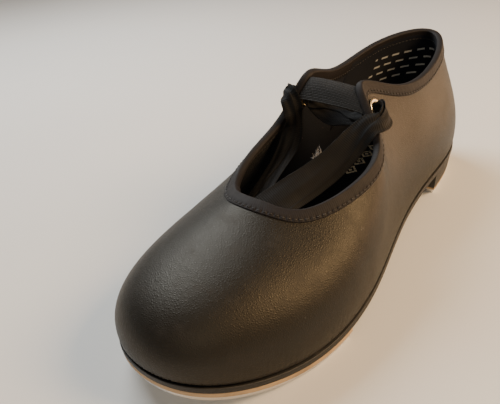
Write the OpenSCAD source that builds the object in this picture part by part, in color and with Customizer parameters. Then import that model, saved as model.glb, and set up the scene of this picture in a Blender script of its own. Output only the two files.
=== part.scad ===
// Ribbon-tie tap shoe, left foot, in millimetres.
// +Z up, toe towards -Y, outer side of the foot towards +X.
// The ground is z = 0, under the heel tap and the flat part of the toe tap.

/* [Last] */
// Length of the last along the feather edge
last_len = 246; // [205:1:295]
// Width of the outline's frame at the toes
toe_w = 71; // [59:1:86]
// Width of the outline's frame at the ball of the foot
ball_w = 92; // [76:1:111]
// Width of the outline's frame under the arch
waist_w = 53; // [44:1:64]
// Width of the outline's frame at the heel seat
heel_w = 57; // [47:1:69]
// Distance that the waist lies outside the heel's middle line
waist_flare = 6; // [2:0.5:10]
// Sideways place of the heel seat's middle line
heel_x = -3.5; // [-6:0.5:0]

/* [Upper] */
// Height of the throat's front edge above the insole
vamp_h = 43; // [34:1:52]
// Height of the collar's low side above the insole
collar_h = 49; // [40:1:59]
// Height of the back of the heel above the insole
back_h = 58; // [48:1:70]
// Height that the lacing tabs' frame reaches above the insole
tab_h = 75; // [62:1:90]
// Distance of the lacing tabs behind the middle of the last
tab_y = 9; // [4:1:16]
// Distance of the throat's front edge ahead of the middle of the last
throat_y = 57; // [46:1:68]
// Thickness of the lining
lining_t = 0.8; // [0.6:0.1:1.2]
// Thickness of the upper's synthetic leather
upper_t = 1.6; // [1.2:0.1:2]
// Thickness of the toe puff and the heel counter
stiffener_t = 0.7; // [0.4:0.1:0.9]
// Thickness of the stays inside the lacing tabs
stay_t = 0.5; // [0.3:0.1:0.8]
// Width of the lasting margin turned under the insole board
margin_w = 10; // [8:0.5:13]
// Thickness of the binding tape
binding_t = 0.6; // [0.4:0.1:0.9]
// Width of the binding on each face of the upper
binding_w = 5.5; // [4.5:0.5:7]
// Thickness of the grip lining in the heel
grip_t = 0.7; // [0.5:0.1:1]

/* [Lacing] */
// Radius of the hole through an eyelet
eyelet_r = 3.5; // [3:0.1:4.2]
// Wall of an eyelet's barrel
eyelet_wall = 0.5; // [0.4:0.1:0.7]
// Width of an eyelet's flange around its barrel
flange_w = 1.6; // [1.3:0.1:1.8]
// Thickness of an eyelet's flange and of its washer
flange_t = 0.5; // [0.4:0.1:0.7]
// Thickness of the instep elastic
elastic_t = 1.1; // [0.8:0.1:1.5]
// Length of elastic sewn inside each tab
elastic_sewn = 4.6; // [4:0.2:5.4]
// Thickness of the ribbon as it lies, folds included
ribbon_t = 0.8; // [0.5:0.1:1.2]

/* [Bottom] */
// Thickness of the insole board
insole_t = 2; // [1.6:0.1:2.6]
// Thickness of the cushion foam
foam_t = 2; // [1.5:0.1:3]
// Thickness of the sock lining
sock_t = 0.8; // [0.5:0.1:1.2]
// Thickness of the outsole
outsole_t = 2.8; // [2.6:0.1:4]
// Distance that the outsole stands out past the upper
welt = 0.3; // [0.2:0.1:1.2]
// Thickness of the layer of cement between upper and outsole
cement_t = 0.15; // [0.1:0.05:0.3]
// Height of the outsole above the ground at the heel
heel_h = 15; // [13:0.5:22]
// Length of the heel, from the back of the last
heel_len = 57; // [51:1:63]
// Distance of the start of the toe spring ahead of the middle of the last
spring_start = 70; // [62:1:76]
// Radius of the toe spring
spring_r = 150; // [130:5:260]
// Width of the steel shank
shank_w = 12; // [10:1:15]
// Thickness of the steel shank
shank_t = 1.2; // [0.8:0.1:1.5]
// Length of the steel shank
shank_len = 96; // [80:1:105]

/* [Taps] */
// Thickness of the metal taps
tap_t = 2.6; // [2:0.1:3.2]
// Thickness of the fibre sounding boards
board_t = 2.2; // [1.5:0.1:2.6]
// Distance that the taps lie inside the outsole's edge
tap_inset = 1.2; // [0.8:0.1:2]
// Distance of the toe tap's back edge ahead of the middle of the last
toe_tap_back = 55; // [50:1:58]
// Radius of a tap screw's shank
screw_r = 1.7; // [1.4:0.1:2]
// Radius of a tap screw's head
head_r = 3.3; // [2.9:0.1:3.8]
// Depth of a tap screw's head below the tap's face
head_sunk = 0.35; // [0.2:0.05:0.6]
// Length of a toe tap screw below its head's face
toe_screw_len = 6.9; // [6:0.1:7]
// Length of a heel tap screw below its head's face
heel_screw_len = 12; // [9:0.5:13]
// Gap around a screw in its holes
screw_gap = 0.05; // [0.02:0.01:0.09]

/* [Hidden] */

// Half the last's length, and the heel's front in from its back.
half_len = last_len / 2;
heel_front = half_len - heel_len;

seam_gap = 0.05;          // gap left between pieces that are sewn or glued face to face
tap_stack = tap_t + board_t;
shell_t = lining_t + upper_t;
foot_lift = outsole_t + cement_t + shell_t;   // insole board's underside above the outsole's underside
ramp_front = -35;         // where the sole starts to rise to the heel
ramp_back = heel_front - 6; // where the heel seat becomes flat
leather = [0.09, 0.085, 0.08];
cloth = [0.16, 0.14, 0.14];
dark_lining = [0.08, 0.09, 0.12];
brass = [0.72, 0.6, 0.38];
steel = [0.7, 0.7, 0.72];
fibre = [0.66, 0.53, 0.38];

// ---- The sole's side profile -------------------------------------------------------------------------

function toe_lift(y) = y < -spring_start ? spring_r - sqrt(pow(spring_r, 2) - pow(y + spring_start, 2)) : 0;
function ramp(t) = t * t * (3 - 2 * t);
function heel_lift(y) =
    (heel_h - tap_stack) * ramp(max(0, min(1, (y - ramp_front) / (ramp_back - ramp_front))));
// Height of the outsole's underside.
function under(y) = tap_stack + toe_lift(y) + heel_lift(y);
// Height of the insole board's underside, which is the upper's feather edge.
function feather_z(y) = under(y) + foot_lift;

// ---- The upper's surface -----------------------------------------------------------------------------

// Sixteen stations round the shoe, from the toe up the outer side and back down the inner side. Each row
// holds: feather x, feather y, topline x, topline y, topline height, then the wall's rise and swell above
// the feather edge, and its lean out and its depth below the topline.
outer_waist = waist_w / 2 + waist_flare / 2;
inner_waist = waist_w / 2 - waist_flare / 2;
// The throat's sides lie half-way between its front and the tabs.
side_y = (throat_y - tab_y) / 2;
rows = [
    [-0.14 * toe_w, -0.504 * last_len,  -6, -throat_y,      vamp_h,       25, 3, -29, 11],
    [ 0.24 * toe_w, -0.5 * last_len,     7, -throat_y + 1,  vamp_h,       25, 3, -24, 12],
    [ 0.49 * toe_w, -0.402 * last_len,  20, -throat_y + 5,  vamp_h - 5,   24, 3, -17, 14],
    [ 0.5 * ball_w, -0.256 * last_len,  31, -side_y,        vamp_h,       22, 3,  -9, 14],
    [ 0.435 * ball_w, -0.09 * last_len, 29, tab_y - 5,      vamp_h + 3,   20, 3,  -5, 14],
    [outer_waist,    0.081 * last_len,   1, tab_y,          tab_h,        22, 4,  -9, 14],
    [0.5 * heel_w,   0.248 * last_len,  18, tab_y + 33,     collar_h - 1, 22, 4,   0, 12],
    [heel_x + 0.5 * heel_w, 0.407 * last_len,    15, 0.36 * last_len,  collar_h + 2, 22, 3, -3, 16],
    [heel_x + 0.255 * heel_w, 0.504 * last_len,   4, 0.485 * last_len, back_h - 2,   24, 4, -4, 18],
    [heel_x - 0.255 * heel_w, 0.508 * last_len,  -8, 0.488 * last_len, back_h + 1,   24, 4, -3, 18],
    [heel_x - 0.5 * heel_w, 0.41 * last_len,    -25, 0.362 * last_len, collar_h + 7, 22, 3, -3, 16],
    [-0.49 * heel_w, 0.252 * last_len, -24, tab_y + 34,     collar_h + 1, 22, 4,   0, 12],
    [-inner_waist,   0.081 * last_len, -15, tab_y + 1,      tab_h,        22, 4,  -9, 14],
    [-0.435 * ball_w, -0.09 * last_len, -27, tab_y - 4,     vamp_h + 2,   21, 3,  -5, 14],
    [-0.5 * ball_w, -0.268 * last_len, -27, -side_y - 1,    vamp_h,       22, 3,  -9, 16],
    [-0.5 * toe_w, -0.443 * last_len,  -17, -throat_y + 8,  vamp_h - 4,   24, 3, -20, 14]];
// The topline's heights count from the insole below them.
stations = [for (r = rows) [r[0], r[1], r[2], r[3], r[4] + feather_z(r[3]), r[5], r[6], r[7], r[8]]];
n_st = len(stations);

function station(i) = stations[(i + n_st) % n_st];
// Smooth closed curve through the rows' frame: a uniform cubic B-spline in u, which counts stations.
function along(u) =
    let (i = floor(u), t = u - i, s = 1 - t)
    (s * s * s * station(i - 1) + (3 * t * t * t - 6 * t * t + 4) * station(i)
     + (3 * s * s * s - 6 * s * s + 4) * station(i + 1) + t * t * t * station(i + 2)) / 6;
// Unit vector in the ground plane that points out of the shoe at u.
function outward(u) =
    let (d = along(u + 0.01) - along(u - 0.01), m = norm([d[0], d[1]])) [d[1] / m, -d[0] / m, 0];
// Point of the last's wall: v runs from 0 at the feather edge to 1 at the topline, on a cubic Bezier.
function wall(u, v) =
    let (
        r = along(u),
        o = outward(u),
        w = 1 - v,
        foot = [r[0], r[1], feather_z(r[1])],
        top = [r[2], r[3], r[4]],
        low = foot + r[6] * o + [0, 0, r[5]],
        high = top - r[7] * o - [0, 0, r[8]]
    ) w * w * w * foot + 3 * v * w * w * low + 3 * v * v * w * high + v * v * v * top;
function unit(a) = a / norm(a);
hair = 0.01;   // a short step for taking slopes
function wall_normal(u, v) =
    unit(cross(wall(u + hair, v) - wall(u - hair, v), wall(u, v + hair) - wall(u, v - hair)));
// Point at the foot of the wall, moved out by w in the ground plane and lying d under the insole board.
function foot_point(u, w, d) = let (p = wall(u, 0) + w * outward(u)) [p[0], p[1], feather_z(p[1]) - d];
// Point of the wall moved out by a thickness d. At the feather edge it goes down by d too,
// round the corner.
function skin(u, v, d) = v == 0 ? foot_point(u, d, d) : wall(u, v) + d * wall_normal(u, v);

// The grid that all layers share, so that their faces meet.
n_u = 5 * n_st;
levels = [0, 0.06, 0.16, 0.28, 0.4, 0.52, 0.63, 0.74, 0.84, 0.93, 1];
n_v = len(levels);        // the topline itself is one more row, after the binding's lower edge
function u_of(k) = k * n_st / n_u;
function binding_v(u) = let (r = along(u)) 1 - binding_w / (3 * norm([r[7], r[8]]));
function v_of(u, j) = j == n_v ? 1 : levels[j] * binding_v(u);
function grid_point(k, j, d) = let (u = u_of(k)) skin(u, v_of(u, j), d);
// Point at the inner edge of the lasting margin.
function margin_point(k, d) = foot_point(u_of(k), -margin_w, d);

// Closed solid between two grids of points: outer and inner are lists of rows of the same size.
module layer(outer, inner, ring) {
    m = len(outer);
    n = len(outer[0]);
    last = ring ? n - 1 : n - 2;
    pts = concat([for (r = outer) each r], [for (r = inner) each r]);
    half = m * n;
    function at(i, k, side) = side * half + i * n + k % n;
    faces = concat(
        [for (i = [0 : m - 2], k = [0 : last]) each
            [[at(i, k, 0), at(i + 1, k, 0), at(i + 1, k + 1, 0)],
             [at(i, k, 0), at(i + 1, k + 1, 0), at(i, k + 1, 0)],
             [at(i, k, 1), at(i + 1, k + 1, 1), at(i + 1, k, 1)],
             [at(i, k, 1), at(i, k + 1, 1), at(i + 1, k + 1, 1)]]],
        [for (k = [0 : last]) each
            [[at(0, k, 0), at(0, k + 1, 0), at(0, k + 1, 1)], [at(0, k, 0), at(0, k + 1, 1), at(0, k, 1)],
             [at(m - 1, k, 0), at(m - 1, k + 1, 1), at(m - 1, k + 1, 0)],
             [at(m - 1, k, 0), at(m - 1, k, 1), at(m - 1, k + 1, 1)]]],
        ring ? [] : [for (i = [0 : m - 2]) each
            [[at(i, 0, 0), at(i + 1, 0, 1), at(i + 1, 0, 0)], [at(i, 0, 0), at(i, 0, 1), at(i + 1, 0, 1)],
             [at(i, n - 1, 0), at(i + 1, n - 1, 0), at(i + 1, n - 1, 1)],
             [at(i, n - 1, 0), at(i + 1, n - 1, 1), at(i, n - 1, 1)]]]);
    polyhedron(pts, faces);
}

// ---- Stiffeners between the lining and the upper -----------------------------------------------------

// Each is a patch of the grid: [first column, last column, first row, last row, thickness].
puff = [-12, 12, 1, 6, stiffener_t];
counter = [33, 52, 1, 7, stiffener_t];
lateral_stay = [22, 28, 7, 10, stay_t];
medial_stay = [57, 63, 7, 10, stay_t];
skived = 0.15;            // thickness of a stiffener at its pared edge
function inside(p, k, j) = k >= p[0] && k <= p[1] && j >= p[2] && j <= p[3];
function rim_of(p, k, j) = k == p[0] || k == p[1] || j == p[2] || j == p[3];
function patch_t(p, k, j) = !inside(p, k, j) ? 0 : rim_of(p, k, j) ? skived : p[4];
function stiff_t(k, j) =
    let (kc = k > n_u / 2 ? k - n_u : k)
    max(patch_t(puff, kc, j), patch_t(counter, k, j),
        patch_t(lateral_stay, k, j), patch_t(medial_stay, k, j));

module stiffener(p)
    layer([for (j = [p[2] : p[3]]) [for (k = [p[0] : p[1]])
              grid_point(k, j, lining_t + patch_t(p, k, j) - seam_gap / 2)]],
          [for (j = [p[2] : p[3]]) [for (k = [p[0] : p[1]])
              grid_point(k, j, lining_t + seam_gap / 2)]], false);

// ---- The sewn upper ----------------------------------------------------------------------------------

// Each eyelet sits below its tab's edge by the binding, its own flange and a clearance.
eyelet_clear = 3.4;
eyelet_drop = binding_w + eyelet_clear + eyelet_r + flange_w;
lateral_tab_reach = 58.9;   // along the wall from the feather edge to the tab's edge
medial_tab_reach = 59.6;
lateral_eyelet_uv = [5, 1 - eyelet_drop / lateral_tab_reach];
medial_eyelet_uv = [12, 1 - eyelet_drop / medial_tab_reach];
barrel_r = eyelet_r + eyelet_wall;

// Puts its children at an eyelet's place, with +Z out of the tab.
module at_eyelet(uv) {
    n = wall_normal(uv[0], uv[1]);
    translate(wall(uv[0], uv[1])) rotate([0, acos(n[2]), atan2(n[1], n[0])]) children();
}

module eyelet_holes()
    for (uv = [lateral_eyelet_uv, medial_eyelet_uv])
        at_eyelet(uv) translate([0, 0, -8]) cylinder(h = 16, r = barrel_r + seam_gap, $fn = 48);

module upper()
    color(leather) difference() {
        layer(concat([[for (k = [0 : n_u - 1]) margin_point(k, shell_t)]],
                     [for (j = [0 : n_v]) [for (k = [0 : n_u - 1]) grid_point(k, j, shell_t)]]),
              concat([[for (k = [0 : n_u - 1]) margin_point(k, lining_t + seam_gap)]],
                     [for (j = [0 : n_v]) [for (k = [0 : n_u - 1])
                         grid_point(k, j, lining_t + seam_gap + stiff_t(k, j))]]),
              true);
        eyelet_holes();
    }

module upper_lining()
    color(dark_lining) difference() {
        layer(concat([[for (k = [0 : n_u - 1]) margin_point(k, lining_t)]],
                     [for (j = [0 : n_v]) [for (k = [0 : n_u - 1]) grid_point(k, j, lining_t)]]),
              concat([[for (k = [0 : n_u - 1]) margin_point(k, 0)]],
                     [for (j = [0 : n_v]) [for (k = [0 : n_u - 1]) grid_point(k, j, 0)]]), true);
        eyelet_holes();
    }

module toe_puff() color(cloth) stiffener(puff);
module heel_counter() color(fibre) stiffener(counter);
module lateral_tab_stay() color(cloth) difference() { stiffener(lateral_stay); eyelet_holes(); }
module medial_tab_stay() color(cloth) difference() { stiffener(medial_stay); eyelet_holes(); }

grip_cols = [30, 55];
grip_row = 3;   // it starts above the sock
module heel_grip_lining()
    color(dark_lining)
        layer([for (j = [grip_row : n_v - 1]) [for (k = [grip_cols[0] : grip_cols[1]])
                  grid_point(k, j, -seam_gap)]],
              [for (j = [grip_row : n_v - 1]) [for (k = [grip_cols[0] : grip_cols[1]])
                  grid_point(k, j, -grip_t)]], false);

// The binding is a channel folded over the topline: eight corners at each column, joined all round.
module topline_binding() {
    function corner(k, v_top, d, lift) =
        let (u = u_of(k), v = v_top ? 1 : binding_v(u), up = unit(wall(u, 1) - wall(u, 0.98)))
        skin(u, v, d) + lift * up;
    out_face = shell_t + seam_gap;
    out_skin = shell_t + binding_t;
    section = [[false, out_skin, 0], [true, out_skin, binding_t],
               [true, -binding_t, binding_t], [false, -binding_t, 0],
               [false, -seam_gap, 0], [true, -seam_gap, seam_gap],
               [true, out_face, seam_gap], [false, out_face, 0]];
    m = len(section);
    pts = [for (s = section, k = [0 : n_u - 1]) corner(k, s[0], s[1], s[2])];
    function at(i, k) = (i % m) * n_u + k % n_u;
    // A face that runs down the wall takes the other diagonal, so that its triangles lie along the upper's.
    function falls(i) = section[i][0] && !section[(i + 1) % m][0];
    color(cloth) polyhedron(pts, [for (i = [0 : m - 1], k = [0 : n_u - 1]) each falls(i)
        ? [[at(i, k), at(i + 1, k), at(i, k + 1)], [at(i + 1, k), at(i + 1, k + 1), at(i, k + 1)]]
        : [[at(i, k), at(i + 1, k), at(i + 1, k + 1)], [at(i, k), at(i + 1, k + 1), at(i, k + 1)]]]);
}

// The elastic runs from inside one tab to inside the other, on an arch between the two toplines.
elastic_rows = 6;
elastic_cols = 18;
elastic_u = [[4.38, 4.98], [12.6, 12.02]];    // where its front and back edges meet each topline
elastic_slack = 0.05;     // how far the arch follows the tabs' slope, as a share of its span
module instep_elastic() {
    d_in = -(binding_t + seam_gap);
    function edge_u(side, t) = elastic_u[side][0] + t * (elastic_u[side][1] - elastic_u[side][0]);
    function top_point(side, t, d) = skin(edge_u(side, t), 1, d);
    function sewn_point(side, t, d) = let (u = edge_u(side, t), r = along(u))
        skin(u, 1 - elastic_sewn / (3 * norm([r[7], r[8]])), d);
    function rise(side, t) = unit(top_point(side, t, d_in) - sewn_point(side, t, d_in));
    function arch(t, s) =
        let (
            a = top_point(0, t, d_in),
            b = top_point(1, t, d_in),
            reach = elastic_slack * norm(b - a),
            w = 1 - s
        ) w * w * w * a + 3 * s * w * w * (a + reach * rise(0, t))
            + 3 * s * s * w * (b + reach * rise(1, t)) + s * s * s * b;
    across = 0.05;
    lengthwise = 0.02;
    function arch_normal(t, s) =
        unit(cross(arch(min(1, t + across), s) - arch(max(0, t - across), s),
                   arch(t, s + lengthwise) - arch(t, s - lengthwise)));
    function line(t, d) = concat([sewn_point(0, t, d_in - d)],
        [for (i = [0 : elastic_cols]) let (s = i / elastic_cols)
            i == 0 ? top_point(0, t, d_in - d) : i == elastic_cols ? top_point(1, t, d_in - d)
                : arch(t, s) - d * arch_normal(t, s)],
        [sewn_point(1, t, d_in - d)]);
    color(cloth) layer([for (i = [0 : elastic_rows]) line(i / elastic_rows, elastic_t)],
                       [for (i = [0 : elastic_rows]) line(i / elastic_rows, 0)], false);
}

// ---- Eyelets and ribbon ------------------------------------------------------------------------------

// The tab is curved, so the flange and the washer stand off its middle by this much.
eyelet_off = 0.75;
flange_low = shell_t + eyelet_off;
flange_top = flange_low + flange_t;
barrel_end = -eyelet_off - flange_t - 0.4;
module eyelet(uv)
    color(brass) at_eyelet(uv) rotate_extrude($fn = 64) polygon([
        [eyelet_r, barrel_end], [barrel_r, barrel_end],
        [barrel_r, flange_low], [barrel_r + flange_w, flange_low],
        [barrel_r + flange_w, flange_top - 0.15], [barrel_r + flange_w * 0.5, flange_top],
        [barrel_r, flange_top], [eyelet_r, flange_top - 0.25]]);

module eyelet_washer(uv)
    color(brass) at_eyelet(uv) translate([0, 0, -eyelet_off - flange_t]) difference() {
        cylinder(h = flange_t, r = barrel_r + flange_w - 0.3, $fn = 64);
        translate([0, 0, -1]) cylinder(h = flange_t + 2, r = barrel_r + seam_gap, $fn = 64);
    }

module lateral_eyelet() eyelet(lateral_eyelet_uv);
module medial_eyelet() eyelet(medial_eyelet_uv);
module lateral_eyelet_washer() eyelet_washer(lateral_eyelet_uv);
module medial_eyelet_washer() eyelet_washer(medial_eyelet_uv);

// Place on an eyelet's axis, at a distance d outside the last's surface.
function through(uv, d) = wall(uv[0], uv[1]) + d * wall_normal(uv[0], uv[1]);

// The ribbon's route, from the inner tail's end, up over the inner topline, out and in through both eyelets
// behind the elastic, over the outer topline and down to the outer tail's end. Each row holds the middle's
// place, the width and the thickness there, and the direction that the width lies in.
bundle_w = 1.5 * eyelet_r;
bundle_t = 0.74 * eyelet_r;
route = [
    [[-6, -72, 24],      18, ribbon_t, [1, 0, 0]],
    [[-9, -60, 29],      17, ribbon_t, [1, 0, 0.1]],
    [[-12, -49, 34],     15, 1, [1, 0.1, 0.2]],
    [[-15, -38, 38.5],   12.5, 1.2, [0.95, 0.2, 0.3]],
    [[-17.5, -28, 41.5], 10.5, 1.4, [0.9, 0.3, 0.35]],
    [[-19.2, -18, 44],   9.5, 1.6, [0.85, 0.4, 0.35]],
    [[-20.6, -8, 47.5],  9, 1.7, [0.75, 0.6, 0.3]],
    [[-21.4, -0.5, 52.5], 9, 1.7, [0.6, 0.75, 0.25]],
    [[-21.6, 3.4, 59],   9, 1.7, [0.45, 0.85, 0.35]],
    [[-20.6, 2.6, 66.8], 9, 1.5, [0.35, 0.65, 0.65]],
    [[-23.4, 3.2, 74.2], 8.5, 1.6, [0.29, 0.5, 0.82]],
    [[-28.2, 6.8, 74.2], 8, 2, [0.28, 0.3, 0.9]],
    [[-29.8, 11.4, 72.2], 7, bundle_t, [0.28, 0.1, 0.95]],
    [through(medial_eyelet_uv, 5.5), bundle_w, bundle_t, [0.28, 0, 0.96]],
    [through(medial_eyelet_uv, 2.5), bundle_w, bundle_t, [0.28, 0, 0.96]],
    [through(medial_eyelet_uv, 0), bundle_w, bundle_t, [0.28, 0, 0.96]],
    [through(medial_eyelet_uv, -3.5), bundle_w, bundle_t, [0.2, 0.4, 0.9]],
    [[-15, 15.4, 66],   8, 2.2, [0.1, 0.9, 0.4]],
    [[ -9, 14.6, 64.5], 11, 1.6, [0, 1, 0.2]],
    [[ -3, 13.6, 63.5], 12, 1.4, [0, 1, 0.2]],
    [[  3, 13.2, 63.8], 10, 1.6, [0, 1, 0.2]],
    [through(lateral_eyelet_uv, -7), 7, 2.2, [-0.2, 0.8, 0.5]],
    [through(lateral_eyelet_uv, -3.5), bundle_w, bundle_t, [-0.4, 0.4, 0.8]],
    [through(lateral_eyelet_uv, 0), bundle_w, bundle_t, [-0.49, 0, 0.86]],
    [through(lateral_eyelet_uv, 3.5), bundle_w, bundle_t, [-0.49, 0, 0.86]],
    [[21.6, 14, 72.7],  6.5, bundle_t, [-0.5, 0.05, 0.85]],
    [[24.6, 11.2, 71.6], 7.5, 2.2, [-0.52, 0.15, 0.83]],
    [[26, 7.6, 70.2],   7.5, 1.9, [-0.56, 0.28, 0.77]],
    [[25.2, 4.1, 70],   8.5, 1.8, [-0.6, 0.4, 0.69]],
    [[22, 0.6, 69],     10, 1.7, [-0.62, 0.42, 0.66]],
    [[18.4, -3.8, 64.2], 11, 1.5, [-0.64, 0.2, 0.73]],
    [[15.2, -9.8, 58.8], 12, 1.4, [-0.67, -0.1, 0.72]],
    [[11.6, -17, 53.8], 12.5, 1.3, [-0.7, -0.2, 0.66]],
    [[7.8, -25, 50.2],  13, 1.3, [-0.74, -0.2, 0.62]],
    [[3.8, -33.6, 47.3], 13.5, 1.3, [-0.8, -0.15, 0.55]],
    [[0, -42.6, 44.6],  14.5, 1.2, [-0.88, -0.05, 0.42]],
    [[-3, -51, 41.2],   16, 1, [-0.96, 0, 0.28]],
    [[-5, -60, 36.5],   18, ribbon_t, [-1, 0, 0.1]],
    [[-5, -70, 31],     18, ribbon_t, [-1, 0, 0]]];

function smooth(a, b, c, d, t) =
    0.5 * (2 * b + (c - a) * t + (2 * a - 5 * b + 4 * c - d) * t * t + (3 * b - a - 3 * c + d) * t * t * t);
ribbon_steps = 2;
module ribbon_tie() {
    last = len(route) - 1;
    function row(i, part) = route[max(0, min(last, i))][part];
    function mid(s, part) = let (i = min(last - 1, floor(s)))
        smooth(row(i - 1, part), row(i, part), row(i + 1, part), row(i + 2, part), s - i);
    corners = [[1, -0.5], [1, 0.5], [0.8, 1], [-0.8, 1], [-1, 0.5], [-1, -0.5], [-0.8, -1], [0.8, -1]];
    m = len(corners);
    spots = [for (i = [0 : last * ribbon_steps]) i / ribbon_steps];
    pts = [for (s = spots)
        let (
            t = unit(mid(min(last, s + 0.1), 0) - mid(max(0, s - 0.1), 0)),
            w = mid(s, 3),
            side = unit(w - (w * t) * t),
            up = cross(t, side)
        ) for (c = corners) mid(s, 0) + 0.5 * mid(s, 1) * c[0] * side + 0.5 * mid(s, 2) * c[1] * up];
    n = len(spots);
    tube = [for (i = [0 : n - 2], k = [0 : m - 1]) each
        let (near = i * m + k, far = (i + 1) * m + k, near_next = i * m + (k + 1) % m,
             far_next = (i + 1) * m + (k + 1) % m)
        [[near, far, far_next], [near, far_next, near_next]]];
    end_row = (n - 1) * m;
    ends = [for (k = [1 : m - 2]) each [[0, k, k + 1], [end_row, end_row + k + 1, end_row + k]]];
    color(cloth) polyhedron(pts, concat(tube, ends));
}

// ---- Bottom: boards, sole, heel and taps -------------------------------------------------------------

big = 400;
// Outline round the feather edge, moved out by d.
function rim(d) = [for (k = [0 : n_u - 1])
    let (p = along(u_of(k)), o = outward(u_of(k))) [p[0] + d * o[0], p[1] + d * o[1]]];
sole_rim = rim(shell_t + welt);
tap_rim = rim(shell_t + welt - tap_inset);

// Everything between two heights above the outsole's underside, from toe to heel.
toe_reach = 0.51 * last_len + 6 - spring_start;
toe_steps = 12;
ramp_steps = 14;
profile_y = concat([for (i = [0 : toe_steps]) -spring_start - toe_reach * (1 - i / toe_steps)],
                   [for (i = [0 : ramp_steps]) ramp_front + (ramp_back - ramp_front) * i / ramp_steps],
                   [big / 2]);
module level_band(low, high) {
    back = [for (i = [len(profile_y) - 1 : -1 : 0]) profile_y[i]];
    rotate([90, 0, 90]) translate([0, 0, -big / 2]) linear_extrude(height = big)
        polygon(concat([for (y = profile_y) [y, under(y) + low]], [for (y = back) [y, under(y) + high]]));
}
// A slab of that band inside a flat outline given as 2D children.
module slab(low, high) intersection() {
    level_band(low, high);
    linear_extrude(height = big / 2) children();
}

// Tap screws: [x, y, length]. A screw stands square to the tap's face.
toe_screw_y = half_len - 21;
toe_screws = [[0, -toe_screw_y, toe_screw_len],
              [25, -spring_start + 6, toe_screw_len],
              [-27, -spring_start + 6, toe_screw_len]];
heel_screws = [[heel_x, half_len - 11, heel_screw_len],
               [heel_x + 19, half_len - 39, heel_screw_len],
               [heel_x - 19, half_len - 39, heel_screw_len]];
function screw_tilt(y) = y < -spring_start ? asin((-spring_start - y) / spring_r) : 0;
module at_screw(s) translate([s[0], s[1], toe_lift(s[1])]) rotate([-screw_tilt(s[1]), 0, 0]) children();

head_t = head_r - screw_r;
module screw_shape(length, gap, open)
    rotate_extrude($fn = 48) polygon([
        [0, open ? -3 : head_sunk], [head_r + gap, open ? -3 : head_sunk], [head_r + gap, head_sunk + 0.2],
        [screw_r + gap, head_sunk + 0.2 + head_t], [screw_r + gap, head_sunk + length - screw_r * 0.8],
        [0, head_sunk + length + (open ? gap * 2 : 0)]]);
cross_w = 0.9;                 // the driver slots cross in each head
cross_reach = 0.68 * head_r;
module tap_screw(s) color(steel) at_screw(s) difference() {
    screw_shape(s[2], 0, false);
    for (a = [45, 135]) rotate([0, 0, a])
        translate([-cross_reach, -cross_w / 2, head_sunk - 1]) cube([2 * cross_reach, cross_w, 2]);
}
module screw_holes() {
    for (s = concat(toe_screws, heel_screws)) at_screw(s) screw_shape(s[2], screw_gap, true);
}

// Heel nails, driven from the insole board down into the heel block.
nail_r = 0.9;
nail_head_r = 2.4;
nail_head_t = 0.9;
nail_len = foot_lift + insole_t + 6;
nail_spots = [[heel_x, half_len - 15],
              [heel_x + 13, half_len - 29], [heel_x - 13, half_len - 29],
              [heel_x + 11, half_len - 47], [heel_x - 11, half_len - 47]];
module nails(gap) for (p = nail_spots)
    translate([p[0], p[1], heel_h + foot_lift + insole_t]) rotate([180, 0, 0]) {
        translate([0, 0, gap > 0 ? -1 : 0])
            cylinder(h = nail_head_t + (gap > 0 ? 1 + gap : 0), r = nail_head_r + gap, $fn = 32);
        cylinder(h = nail_len + gap, r = nail_r + gap, $fn = 24);
    }

module outsole() color([0.12, 0.12, 0.12]) difference() {
    slab(0, outsole_t) polygon(sole_rim);
    screw_holes();
    nails(seam_gap);
}

module heel_plan(inset) intersection() {
    polygon(rim(shell_t + welt - 0.4 - inset));
    translate([-big / 2, heel_front + inset / 2]) square([big, big]);
}
heel_taper = 1.5;
module heel_block() color([0.13, 0.13, 0.13]) difference() {
    hull() {
        translate([0, 0, heel_h - 0.4]) linear_extrude(height = 0.4) heel_plan(0);
        translate([0, 0, tap_stack]) linear_extrude(height = 0.4) heel_plan(heel_taper);
    }
    screw_holes();
    nails(seam_gap);
}

module insole_board() color(fibre) difference() {
    slab(foot_lift + 2 * seam_gap, foot_lift + insole_t) polygon(rim(-4 * seam_gap));
    nails(seam_gap);
}
shank_start = ramp_front + 18;
module shank_plan(gap) translate([heel_x / 2 - shank_w / 2 - gap, shank_start - gap])
    square([shank_w + 2 * gap, shank_len + 2 * gap]);
shank_low = outsole_t + 0.8;
module shank() color(steel) difference() {
    slab(shank_low, shank_low + shank_t) shank_plan(0);
    nails(seam_gap);
}
module bottom_filler() color([0.45, 0.36, 0.26]) difference() {
    slab(outsole_t, foot_lift) polygon(rim(-margin_w - 0.4));
    slab(shank_low - seam_gap, shank_low + shank_t + seam_gap) shank_plan(seam_gap);
    nails(seam_gap);
}
module insole_foam() color([0.3, 0.32, 0.35])
    slab(foot_lift + insole_t, foot_lift + insole_t + foam_t) polygon(rim(-1));
module sock_lining() color(dark_lining)
    slab(foot_lift + insole_t + foam_t, foot_lift + insole_t + foam_t + sock_t) polygon(rim(-1));
module heel_nails() color(steel) nails(0);

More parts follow.
